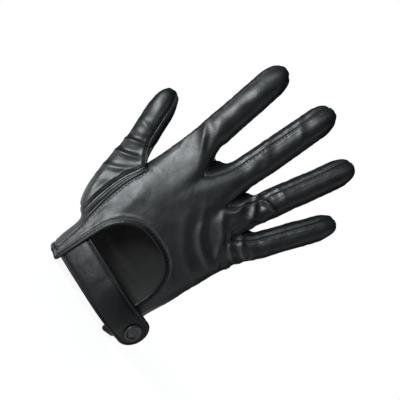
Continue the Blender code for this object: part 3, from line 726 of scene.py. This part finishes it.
class Panel:
    """One leather panel of the skin as a sheet with a thickness."""

    def __init__(self, skin, name, normal):
        chosen = np.flatnonzero(skin.panel == PANELS.index(name))
        used, quads = np.unique(skin.quads[chosen], return_inverse=True)
        quads = quads.reshape(-1, 4)
        self.local = {int(v): i for i, v in enumerate(used)}
        self.flat_normal = normal[used]
        self.outer = skin.points[used].copy()
        rim = open_edges(quads)
        self.inwards = inward_directions(self.outer, quads, rim)
        inner = self.outer - self.inwards * SEAM_TURN - self.flat_normal * LEATHER
        self.outer += self.inwards * SEAM_OPEN
        self.points = np.vstack([self.outer, inner])
        count = len(used)
        turned_in = [[b, a, a + count, b + count] for a, b, _ in rim]
        self.faces = np.vstack([quads, quads[:, ::-1] + count, turned_in])
        self.normals = point_normals(self.points, self.faces)
        self.outer_digit = skin.digit[chosen]
        self.digit = np.concatenate([self.outer_digit, self.outer_digit,
                                     self.outer_digit[[f for _, _, f in rim]]])
        self.material = np.repeat([0, 1, 0], [len(quads), len(quads), len(rim)])
        near = np.exp(-np.minimum(skin.seam_far, skin.edge_far)[used] * 1000 / WEAR_REACH)
        self.wear = np.concatenate([near, near])
        self.tree = BVHTree.FromPolygons([tuple(p) for p in self.outer],
                                         [tuple(q) for q in quads])

    def piece(self, name, digit):
        """The panel's share of one digit, as an object."""
        chosen = np.flatnonzero(self.digit == DIGITS.index(digit))
        used, local = np.unique(self.faces[chosen], return_inverse=True)
        mesh = bpy.data.meshes.new(name)
        mesh.from_pydata([tuple(p) for p in self.points[used]], [],
                         [tuple(f) for f in local.reshape(-1, 4)])
        for finish in (LEATHER_SKIN, SUEDE):
            mesh.materials.append(finish)
        mesh.polygons.foreach_set("material_index", self.material[chosen])
        mesh.attributes.new("wear", "FLOAT", "POINT").data.foreach_set("value", self.wear[used])
        mesh.shade_smooth()
        mesh.normals_split_custom_set_from_vertices([tuple(n) for n in self.normals[used]])
        made = bpy.data.objects.new(name, mesh)
        bpy.context.scene.collection.objects.link(made)
        return made


# ---- stitches ----
def resampled(line, pitch):
    """Points along a polyline, evenly spaced."""
    line = np.array(line)
    step = np.linalg.norm(np.diff(line, axis=0), axis=1)
    reached = np.concatenate([[0], np.cumsum(step)])
    count = max(2, int(reached[-1] / pitch))
    at = (np.arange(count) + 0.5) * reached[-1] / count
    return np.stack([np.interp(at, reached, line[:, k]) for k in range(3)], axis=1)


def run_at(line, i, out):
    """The way a line runs at its point i, square to out."""
    along = Vector(line[min(i + 1, len(line) - 1)] - line[max(i - 1, 0)])
    return (along - out * along.dot(out)).normalized()


def stitch_row(panel, chain):
    """(centre, along, out, digit) of each stitch beside a chain of a panel's edge."""
    at = [panel.local[v] for v in chain if v in panel.local]
    if len(at) < 4:
        return []
    line = smoothed(panel.outer[at] + panel.inwards[at] * STITCH_IN, 6)
    line = resampled(line, STITCH_PITCH)
    row = []
    for i, p in enumerate(line):
        spot, out, face, _ = panel.tree.find_nearest(Vector(p))
        if (spot - Vector(p)).length <= STITCH_REACH:
            row.append((spot, run_at(line, i, out), out, DIGITS[panel.outer_digit[face]]))
    return row


def stitches_along(line, outs):
    """The hand's stitches, spaced evenly on a line, each out of its nearest point."""
    tree = kd_tree(line)
    even = resampled(line, STITCH_PITCH)
    row = []
    for i, p in enumerate(even):
        out = Vector(outs[tree.find(p)[1]])
        row.append((Vector(p), run_at(even, i, out), out, "hand"))
    return row


def tube_faces(rings, sides, base=0):
    """The faces of a tube of rings of points, closed at both ends."""
    faces = []
    for low in range(base, base + (rings - 1) * sides, sides):
        for s in range(sides):
            n = (s + 1) % sides
            faces.append((low + s, low + n, low + sides + n, low + sides + s))
    last = base + (rings - 1) * sides
    return faces + [tuple(range(base + sides - 1, base - 1, -1)), tuple(range(last, last + sides))]


def stitch_mesh(name, row):
    """Short lengths of thread that dive into the leather at both ends."""
    points, faces = [], []
    rings, sides = 5, 5
    for centre, along, out, _ in row:
        across = along.cross(out)
        faces += tube_faces(rings, sides, len(points))
        for k in range(rings):
            t = 2 * k / (rings - 1) - 1
            lift = STITCH_RADIUS * (0.25 - 1.1 * t * t)
            size = STITCH_RADIUS * (1.0 - 0.35 * t * t)
            middle = centre + along * (t * STITCH_LENGTH / 2) + out * lift
            for s in range(sides):
                turn = 2 * pi * s / sides
                points.append(middle + across * cos(turn) * size + out * sin(turn) * size)
    return mesh_object(name, points, faces, THREAD)


def mesh_object(name, points, faces, finish, smooth=True):
    """A closed solid, its faces turned to face out, or with smooth off a flat sheet."""
    mesh = bpy.data.meshes.new(name)
    mesh.from_pydata([tuple(p) for p in points], [], [tuple(f) for f in faces])
    mesh.materials.append(finish)
    if smooth:
        solid = bmesh.new()
        solid.from_mesh(mesh)
        bmesh.ops.recalc_face_normals(solid, faces=solid.faces)
        solid.to_mesh(mesh)
        solid.free()
        mesh.shade_smooth()
    made = bpy.data.objects.new(name, mesh)
    bpy.context.scene.collection.objects.link(made)
    return made


# ---- materials ----
class Nodes:
    """A material's node tree, with short calls for what the leathers share."""

    def __init__(self, name, colour, roughness, sockets=()):
        self.material = bpy.data.materials.new(name)
        self.material.use_nodes = True
        self.tree = self.material.node_tree
        self.shader = self.tree.nodes["Principled BSDF"]
        self.shader.inputs["Base Color"].default_value = (*colour, 1)
        self.shader.inputs["Roughness"].default_value = roughness
        for key, value in dict(sockets).items():
            self.shader.inputs[key].default_value = value
        self.place = self.tree.nodes.new("ShaderNodeTexCoord").outputs["Object"]

    def add(self, kind, inputs=(), **settings):
        node = self.tree.nodes.new("ShaderNode" + kind)
        for key, value in settings.items():
            setattr(node, key, value)
        for key, value in dict(inputs).items():
            if isinstance(value, bpy.types.NodeSocket):
                self.tree.links.new(value, node.inputs[key])
            else:
                node.inputs[key].default_value = value
        return node

    def noise(self, size, detail=3.0, roughness=0.5):
        """Noise whose features are about that many metres."""
        return self.add("TexNoise", {"Vector": self.place, "Scale": 1 / size, "Detail": detail,
                                     "Roughness": roughness}).outputs["Fac"]

    def cells(self, size):
        """Distance to the edges of cells about that many metres across."""
        return self.add("TexVoronoi", {"Vector": self.place, "Scale": 1 / size},
                        feature="DISTANCE_TO_EDGE").outputs["Distance"]

    def ramp(self, value, stops):
        """Maps a value through (position, brightness) stops."""
        node = self.add("ValToRGB", {"Fac": value})
        while len(node.color_ramp.elements) < len(stops):
            node.color_ramp.elements.new(0.5)
        for element, (position, bright) in zip(node.color_ramp.elements, stops):
            element.position = position
            element.color = (bright, bright, bright, 1)
        return node.outputs["Color"]

    def mix(self, share, first, second):
        """Mixes two colours or colour sockets by a share."""
        first, second = ((*c, 1) if isinstance(c, tuple) else c for c in (first, second))
        return self.add("Mix", {0: share, 6: first, 7: second}, data_type="RGBA").outputs[2]

    def bump(self, *layers):
        """Chains (height socket, depth in metres) layers into the normal."""
        under = {}
        for height, depth in layers:
            node = self.add("Bump", {"Height": height, "Distance": depth, "Strength": 1.0, **under})
            under = {"Normal": node.outputs["Normal"]}
        self.link(under["Normal"], "Normal")

    def link(self, value, socket):
        self.tree.links.new(value, self.shader.inputs[socket])

    def grain(self, value, low, high, depth):
        """Colours the surface by its grain, and raises it that many metres."""
        self.link(self.mix(value, low, high), "Base Color")
        self.bump((value, depth))


def leather_material(name, dark, pale, smooth, matt, specular):
    """Smooth black glove leather: fine grain, soft creases, paler where it is rubbed."""
    m = Nodes(name, dark, matt, {"Specular IOR Level": specular})
    fine = m.noise(0.0014, 3.0, 0.55)
    colour = m.mix(m.ramp(m.noise(0.018, 4.0), [(0.3, 0.0), (0.7, 1.0)]), dark, pale)
    wear = m.add("Attribute", attribute_name="wear").outputs["Fac"]
    rubbed = m.add("Math", {0: wear, 1: m.ramp(fine, [(0.35, 0.1), (0.75, 0.7)])},
                   operation="MULTIPLY").outputs[0]
    m.link(m.mix(rubbed, colour, (0.024, 0.027, 0.030)), "Base Color")
    m.link(m.ramp(m.noise(0.007, 3.0), [(0.25, smooth), (0.75, matt)]), "Roughness")
    pores = m.ramp(m.cells(0.00080), [(0.0, 0.0), (0.25, 1.0)])
    creases = m.ramp(m.noise(0.0045, 2.5, 0.5), [(0.25, 0.0), (0.75, 1.0)])
    m.bump((creases, 0.00010), (pores, 0.000012), (fine, 0.000012))
    return m.material


def suede_material():
    """The flesh side of the leather: matt, with a short nap."""
    m = Nodes("glove_suede", (0.030, 0.029, 0.029), 0.92,
              {"Specular IOR Level": 0.2, "Sheen Weight": 0.35, "Sheen Roughness": 0.5})
    m.grain(m.noise(0.0007, 6.0, 0.75), (0.008, 0.008, 0.008), (0.026, 0.025, 0.024), 0.00025)
    return m.material


def thread_material():
    m = Nodes("glove_thread", (0.008, 0.008, 0.009), 0.65, {"Specular IOR Level": 0.3})
    m.grain(m.noise(0.0003, 2.0), (0.005, 0.005, 0.006), (0.016, 0.017, 0.019), 0.00005)
    return m.material


def snap_material():
    """The snap's black enamelled cap, worn to dull metal in specks."""
    m = Nodes("snap_enamel", (0.02, 0.021, 0.023), 0.30, {"Metallic": 0.4})
    specks = m.ramp(m.noise(0.0012, 4.0), [(0.55, 0.0), (0.72, 1.0)])
    m.link(m.mix(specks, (0.016, 0.017, 0.019), (0.045, 0.047, 0.050)), "Base Color")
    m.link(m.ramp(m.noise(0.002, 4.0), [(0.3, 0.24), (0.7, 0.40)]), "Roughness")
    m.bump((m.noise(0.0006, 3.0), 0.00002))
    return m.material


def steel_material():
    m = Nodes("snap_steel", (0.42, 0.42, 0.43), 0.32, {"Metallic": 1.0})
    lines = m.noise(0.0004, 5.0, 0.7)
    m.grain(lines, (0.34, 0.34, 0.35), (0.52, 0.52, 0.53), 0.00001)
    m.link(m.ramp(lines, [(0.3, 0.26), (0.7, 0.42)]), "Roughness")
    return m.material


def floor_material():
    return Nodes("floor_white", (0.30, 0.30, 0.30), 0.9,
                 {"Specular IOR Level": 0.1, "Emission Color": (1, 1, 1, 1),
                  "Emission Strength": 0.90}).material


# ---- the bound edge ----
# The binding's section: (into the panel, out of the surface), in millimetres.
BINDING = [(2.9, -0.20), (2.75, 0.12), (2.5, 0.22), (2.1, 0.25), (1.7, 0.48), (1.0, 0.66),
           (0.3, 0.60), (-0.25, 0.30), (-0.45, -0.30), (-0.25, -1.00), (0.6, -1.35),
           (2.6, -1.30), (2.7, -0.95), (0.9, -0.60)]


def smoothed(rows, rounds):
    """Rows evened out along their order, with both ends kept."""
    rows = np.array(rows, float)
    for _ in range(rounds):
        rows[1:-1] = (rows[:-2] + 2 * rows[1:-1] + rows[2:]) / 4
    return rows


END_POINTS = 7              # points of an edge's ends that a seam draws in
LINE_ROUNDS, TURN_ROUNDS = 24, 60
BINDING_STITCH = (0.0023, 0.00026)      # in from the edge, out of the surface


def straight_ends(line):
    """The line with its drawn-in ends made straight."""
    line = line.copy()
    for end in (line, line[::-1]):
        step = (end[END_POINTS] - end[2 * END_POINTS]) / END_POINTS
        for k in range(END_POINTS):
            end[k] = end[END_POINTS] + step * (END_POINTS - k)
    return line


def level_ends(rows):
    """The directions with those at the ends taken from further in."""
    rows = rows.copy()
    rows[:END_POINTS], rows[-END_POINTS:] = rows[END_POINTS], rows[-END_POINTS - 1]
    return rows


def bound_edge(name, panel, chain):
    """The narrow leather that wraps a panel's open edge, and its stitches."""
    at = [panel.local[v] for v in chain]
    line = smoothed(straight_ends(panel.outer[at]), LINE_ROUNDS)
    out = unit(smoothed(level_ends(panel.flat_normal[at]), TURN_ROUNDS))
    inward = smoothed(level_ends(panel.inwards[at]), TURN_ROUNDS)
    inward = unit(inward - out * np.sum(inward * out, axis=1, keepdims=True))
    kept = sorted({*range(0, len(line), 2), len(line) - 1})
    line, out, inward = line[kept], out[kept], inward[kept]
    points = [Vector(p) + Vector(i) * a / 1000 + Vector(o) * b / 1000
              for p, i, o in zip(line, inward, out) for a, b in BINDING]
    # The binding takes the strap's darker leather, whose darker colour is painted shade.
    made = mesh_object(name, points, tube_faces(len(line), len(BINDING)), STRAP_SKIN_PAINTED_SHADE)
    across, up = BINDING_STITCH
    return made, stitches_along(line + inward * across + out * up, out)


# ---- strap and snap ----
STRAP_Z = (STRAP_LOW + STRAP_HIGH) / 2
STRAP_HALF = (STRAP_HIGH - STRAP_LOW) / 2
STRAP_START_X, TANGENT_X = -0.0252, 0.0250
STRAP_ROOT_X = -0.0325      # where the strap's sewn root ends, under the cuff
START_OFFSET, END_OFFSET = -0.0030, 0.0050
SNAP_AT = 0.0080
TAB_OFFSET, TAB_BACK = 0.0007, 0.0008
ROOT_HIDDEN = 0.006         # the length of the strap's root that the cuff covers
LINING_IN, TAB_IN = 0.0003, 0.0006      # how much narrower than the strap, on each side
STRAP_STITCH = (0.0021, 0.00088)        # in from the edge, over the strap's underside
OUTER_LOW = 0.0007          # height of the strap's outer leather over its lining's underside
CAP_BASE = 0.0020
END_TURNS = np.linspace(-pi / 2, pi / 2, 36)[1:-1]
# Sections of the strips: (in from the edge, height), in millimetres.
OUTER_TOP = [(0, 0.45), (0.12, 0.72), (0.35, 0.98), (0.75, 1.20), (1.2, 1.24), (1.6, 1.12),
             (1.9, 0.88), (2.1, 0.80), (2.35, 0.88), (2.8, 1.12), (3.6, 1.30), (5.0, 1.42),
             (7.0, 1.50), (9.0, 1.52), (10.5, 1.53)]
OUTER_BOTTOM = [(0, 0.30), (0.12, 0.12), (0.4, 0), (5.0, 0), (10.5, 0)]
LINING_TOP = [(0, 0.30), (0.15, 0.55), (0.4, 0.62), (5.0, 0.62), (10.2, 0.62)]
LINING_BOTTOM = [(0, 0.25), (0.15, 0.06), (0.4, 0), (5.0, 0), (10.2, 0)]
TAB_TOP = [(0, 0.45), (0.2, 0.85), (0.6, 1.12), (1.4, 1.20), (5.0, 1.20), (9.9, 1.20)]
TAB_BOTTOM = [(0, 0.40), (0.2, 0.15), (0.5, 0), (5.0, 0), (9.9, 0)]


def wrist_frame(x):
    """Point, tangent and outward normal of the wrist's back at x."""
    step = 0.0004
    a, b = on_hand(x - step, STRAP_Z, -1), on_hand(x + step, STRAP_Z, -1)
    along = Vector((b.x - a.x, b.y - a.y, 0)).normalized()
    p = on_hand(x, STRAP_Z, -1)
    return Vector((p.x, p.y, 0)), along, Vector((along.y, -along.x, 0))


def strap_path():
    """Place along the strap's underside as a function, and how far its snap is."""
    line = []
    for x in np.arange(STRAP_ROOT_X, TANGENT_X, 0.0008):
        p, _, out = wrist_frame(x)
        share = max(0.0, (x - STRAP_START_X) / (TANGENT_X - STRAP_START_X))
        rise = share * share * (3 - 2 * share)
        line.append((p + out * (START_OFFSET + (END_OFFSET - START_OFFSET) * rise), out))
    start, along, out = wrist_frame(TANGENT_X)
    base = start + out * END_OFFSET
    line += [(base, out), (base + along * 0.03, out)]
    points, outs = np.array([p for p, _ in line]), np.array([o for _, o in line])
    reached = np.concatenate([[0], np.cumsum(np.linalg.norm(np.diff(points, axis=0), axis=1))])

    def place(u):
        p = Vector([np.interp(u, reached, points[:, k]) for k in range(3)])
        return p, Vector([np.interp(u, reached, outs[:, k]) for k in range(3)]).normalized()

    return place, reached[-2] + SNAP_AT


def strip_ring(place, half, inset, height, stations, shape):
    """Points this far in from a round-ended strip's edge, and their outward directions."""
    reach, centre = half - inset, stations[-1]
    flat = [(u, -reach) for u in stations]
    flat += [(centre + reach * cos(turn), reach * sin(turn)) for turn in END_TURNS]
    flat += [(u, reach) for u in stations[::-1]]
    ring = []
    for u, v in flat:
        p, out = place(u)
        ring.append((p + out * (height + shape(u - centre, v)) + Vector((0, 0, STRAP_Z + v)), out))
    return ring


def level(u, v):
    return 0.0


def strip(name, place, half, stations, top, bottom, finish, shape=level):
    """A strip of leather with a round end, from its sections."""
    rings = [strip_ring(place, half, i / 1000, h / 1000, stations, level)
             for i, h in bottom[::-1]]
    rings += [strip_ring(place, half, i / 1000, h / 1000, stations, shape) for i, h in top]
    count = len(rings[0])
    points = [p for ring in rings for p, _ in ring]
    faces = []
    for k in range(len(rings) - 1):
        for i in range(count - 1):
            a, b = k * count + i, (k + 1) * count + i
            faces.append((a, a + 1, b + 1, b))
    for base, turn in ((0, -1), ((len(rings) - 1) * count, 1)):
        for i in range(count // 2 - 1):
            corners = (base + i, base + i + 1, base + count - 2 - i, base + count - 1 - i)
            faces.append(corners[::turn])
    end = [k * count for k in range(len(rings))]
    faces.append(tuple(end + [k + count - 1 for k in reversed(end)]))
    return mesh_object(name, points, faces, finish)


def strap_shape(u, v):
    """Slight waves of the strap, and the leather drawn in round its snap."""
    wave = 0.00030 * noise.noise(Vector((u / 0.010, v / 0.016, 3.1)))
    from_snap = sqrt(u * u + v * v)
    return wave - 0.00045 * np.exp(-((from_snap - 0.0064) / 0.0009) ** 2)


def snap_place(offset):
    """Frame at the snap's centre, offset out of the wrist's skin: Z is outwards."""
    start, along, out = wrist_frame(TANGENT_X)
    centre = start + along * SNAP_AT + out * offset + Vector((0, 0, STRAP_Z))
    turn = Matrix((along, Vector((0, 0, 1)), out)).transposed()
    return Matrix.Translation(centre) @ turn.to_4x4()


def turned(name, profile, place, finish, sides=64):
    """A solid of revolution about its own Z; profile is (radius, height), closed."""
    points, index = [], []
    for radius, height in profile:
        if radius == 0:
            index.append([len(points)] * sides)
            points.append(place @ Vector((0, 0, height)))
            continue
        index.append(list(range(len(points), len(points) + sides)))
        for k in range(sides):
            turn = 2 * pi * k / sides
            points.append(place @ Vector((radius * cos(turn), radius * sin(turn), height)))
    faces = []
    for low, high in zip(index, index[1:] + index[:1]):
        for k in range(sides):
            n = (k + 1) % sides
            corners = list(dict.fromkeys((low[k], low[n], high[n], high[k])))
            if len(corners) > 2:
                faces.append(corners)
    made = mesh_object(name, points, faces, finish)
    made.data.set_sharp_from_angle(angle=radians(50))
    return made


def bend(piece):
    """Bakes the piece's placement into its points."""
    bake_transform(piece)


LEATHER_SKIN = leather_material("glove_leather", (0.0030, 0.0036, 0.0042),
                                (0.0068, 0.0078, 0.0088), smooth=0.42, matt=0.50, specular=0.5)
# A darker, less shiny copy of the glove leather for the strap, its tab and the bound edges: its
# darker base colour is painted shade, for parts that face the lamps more directly.
STRAP_SKIN_PAINTED_SHADE = leather_material("strap_leather", (0.0016, 0.0018, 0.0020),
                              (0.0032, 0.0036, 0.0040), smooth=0.34, matt=0.42, specular=0.18)
SUEDE = suede_material()
THREAD = thread_material()
SNAP = snap_material()
STEEL = steel_material()

skin = build_skin()
crease(skin)
normal = point_normals(skin.points, skin.quads)
panels = {name: Panel(skin, name, normal) for name in PANELS}


def sew(piece, digit, *nodes):
    """Attaches the piece to the hand's body when its digit is the hand, else bakes its placement
    in, and hides those CAD nodes.
    """
    if digit == "hand":
        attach(piece, "hand")
    else:
        bend(piece)
    if nodes:
        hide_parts(*nodes)


def add_piece(panel, digit, name, *nodes):
    sew(panels[panel].piece(name, digit), digit, *nodes)


add_piece("back", "hand", "back_leather", "back_panel")
add_piece("palm", "hand", "palm_leather", "palm_panel")
for name in NAMES:
    add_piece("back", name, f"{name}_back_leather", f"{name}_tip_back")
    add_piece("palm", name, f"{name}_palm_leather", f"{name}_tip_palm")
for panel, first, second in zip(FOURCHETTES, NAMES, NAMES[1:]):
    add_piece(panel, "hand", panel + "_leather", panel)
    add_piece(panel, first, f"{first}_fourchette_little_side_leather",
              f"{first}_tip_fourchette_little_side")
    add_piece(panel, second, f"{second}_fourchette_thumb_side_leather",
              f"{second}_tip_fourchette_thumb_side")
add_piece("thumb_back", "thumb", "thumb_back_leather", "thumb_base_back", "thumb_tip_back")
add_piece("thumb_palm", "thumb", "thumb_palm_leather", "thumb_base_palm", "thumb_tip_palm")
add_piece("thumb_palm", "hand", "thumb_gusset_leather")

# Stitches beside every seam, on the panel that laps over the other.
ends, first_face, second_face = skin.edges()
inner_edge = second_face >= 0
first_panel = skin.panel[first_face]
second_panel = np.where(inner_edge, skin.panel[second_face], -1)
LAPS = [("back", "palm"), *((side, between_fingers) for side in ("back", "palm")
                            for between_fingers in FOURCHETTES),
        ("palm", "thumb_back"), ("palm", "thumb_palm"), ("thumb_back", "thumb_palm")]
rows = {digit: [] for digit in DIGITS}
for upper, lower in LAPS:
    a, b = PANELS.index(upper), PANELS.index(lower)
    chosen = (first_panel == a) & (second_panel == b)
    chosen |= (first_panel == b) & (second_panel == a)
    for chain in seam_chains(ends, chosen):
        for stitch in stitch_row(panels[upper], chain):
            rows[stitch[3]].append(stitch)

# The bound edges of the keyhole and the cuff, each with its row of stitches.
for name, panel, nodes in (("keyhole_binding", "back", ["keyhole_facing"]),
                           ("cuff_binding", "palm", [])):
    chosen = ~inner_edge & (first_panel == PANELS.index(panel))
    for chain in seam_chains(ends, chosen):
        binding, row = bound_edge(name, panels[panel], chain)
        sew(binding, "hand", *nodes)
        rows["hand"] += row

for digit, row in rows.items():
    sew(stitch_mesh(f"{digit}_stitching", row), digit)

# Strap, its lining and stitches, their placement baked in.
place, snap_far = strap_path()
stations = list(np.linspace(0, snap_far, 84))
# The strap's darker leather colour is painted shade.
strap = strip("strap_leather", lambda u: (place(u)[0] + place(u)[1] * OUTER_LOW, place(u)[1]),
              STRAP_HALF, stations, OUTER_TOP, OUTER_BOTTOM, STRAP_SKIN_PAINTED_SHADE, strap_shape)
lining = strip("strap_lining_leather", place, STRAP_HALF - LINING_IN, stations,
               LINING_TOP, LINING_BOTTOM, SUEDE)
visible = [u for u in stations if u > ROOT_HIDDEN]
path = strip_ring(place, STRAP_HALF, STRAP_STITCH[0], OUTER_LOW + STRAP_STITCH[1], visible,
                  strap_shape)
thread = stitch_mesh("strap_stitching",
                     stitches_along(np.array([p for p, _ in path]), [o for _, o in path]))
for piece, slot in ((strap, "leather"), (lining, "facing"), (thread, "leather")):
    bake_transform(piece)
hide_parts("strap_outer", "strap_anchor")
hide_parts("strap_lining")

tab_start, tab_along, tab_out = wrist_frame(TANGENT_X)
tab = strip("snap_tab_leather",
            lambda u: (tab_start + tab_along * (u - TAB_BACK) + tab_out * TAB_OFFSET, tab_out),
            STRAP_HALF - TAB_IN, list(np.linspace(0, SNAP_AT + TAB_BACK, 12)),
            TAB_TOP, TAB_BOTTOM, STRAP_SKIN_PAINTED_SHADE)
sew(tab, "hand", "snap_tab")

CAP = [(0, 0.0000), (0.0050, 0.0000), (0.0057, 0.0001), (0.0059, 0.0004), (0.0058, 0.0008),
       (0.0055, 0.0011), (0.0051, 0.0013), (0.0047, 0.0013), (0.0044, 0.0011), (0.0042, 0.0008),
       (0.0038, 0.0006), (0.0030, 0.0006), (0.0015, 0.0008), (0, 0.0009)]
cap = turned("snap_cap_enamel", CAP, snap_place(END_OFFSET + CAP_BASE), SNAP)
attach(cap, "strap")
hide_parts("snap_cap")
for node in ("snap_socket", "snap_stud", "snap_eyelet"):
    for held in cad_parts[node].material_slots:
        held.material = STEEL

# ---- stage, light and camera ----
SIDE, FLOOR_Z = 0.20, -0.0014
corners = [(-SIDE, -SIDE), (SIDE, -SIDE), (SIDE, SIDE), (-SIDE, SIDE)]
floor = mesh_object("floor", [(x, y, FLOOR_Z) for x, y in corners], [(0, 1, 2, 3)],
                    floor_material(), smooth=False)


def area_light(name, place, size, power):
    """A soft rectangular light that shines at the glove's middle."""
    lamp = bpy.data.lights.new(name, "AREA")
    lamp.shape = "RECTANGLE"
    lamp.size, lamp.size_y = size
    lamp.energy = power
    lamp.color = (0.92, 0.98, 1.0)
    holder = bpy.data.objects.new(name, lamp)
    bpy.context.scene.collection.objects.link(holder)
    holder.location = place
    holder.rotation_euler = (Vector(place) - MIDDLE).to_track_quat("Z", "Y").to_euler()


def studio_world():
    """A white surround that the camera sees, which lights the glove only faintly."""
    world = bpy.data.worlds.new("studio")
    world.use_nodes = True
    nodes, links = world.node_tree.nodes, world.node_tree.links
    nodes.clear()
    mix = nodes.new("ShaderNodeMixShader")
    path = nodes.new("ShaderNodeLightPath")
    links.new(path.outputs["Is Camera Ray"], mix.inputs[0])
    for socket, strength in ((1, 0.02), (2, 1.0)):
        light = nodes.new("ShaderNodeBackground")
        light.inputs["Color"].default_value = (1, 1, 1, 1)
        light.inputs["Strength"].default_value = strength
        links.new(light.outputs[0], mix.inputs[socket])
    links.new(mix.outputs[0], nodes.new("ShaderNodeOutputWorld").inputs["Surface"])
    bpy.context.scene.world = world


MIDDLE = Vector((-0.008, 0.0, 0.092))
for light in [("key", (-0.64, -0.80, 0.07), (0.42, 0.10), 9.0),
              ("thumb_side", (-0.92, -0.42, 0.09), (0.40, 0.15), 12.0),
              ("above", (-0.45, -0.75, 0.85), (0.5, 0.4), 1.6),
              ("little_side", (0.80, -0.25, 0.30), (0.2, 0.7), 0.7),
              ("palm_side", (0.10, 1.10, 0.30), (0.6, 0.6), 4.0)]:
    area_light(*light)
studio_world()
bpy.context.scene.view_settings.view_transform = "Standard"

DISTANCE, AZIMUTH, TILT = 0.586, -10.0, 57.0
camera = bpy.data.cameras.new("camera")
camera.lens = 85
holder = bpy.data.objects.new("camera", camera)
bpy.context.scene.collection.objects.link(holder)
away = Vector((sin(radians(AZIMUTH)), -cos(radians(AZIMUTH)), 0.0))
turn = away.to_track_quat("Z", "Y").to_matrix() @ Matrix.Rotation(radians(TILT), 3, "Z")
holder.matrix_world = Matrix.Translation(MIDDLE + away * DISTANCE) @ turn.to_4x4()
bpy.context.scene.camera = holder

bpy.context.view_layer.update()
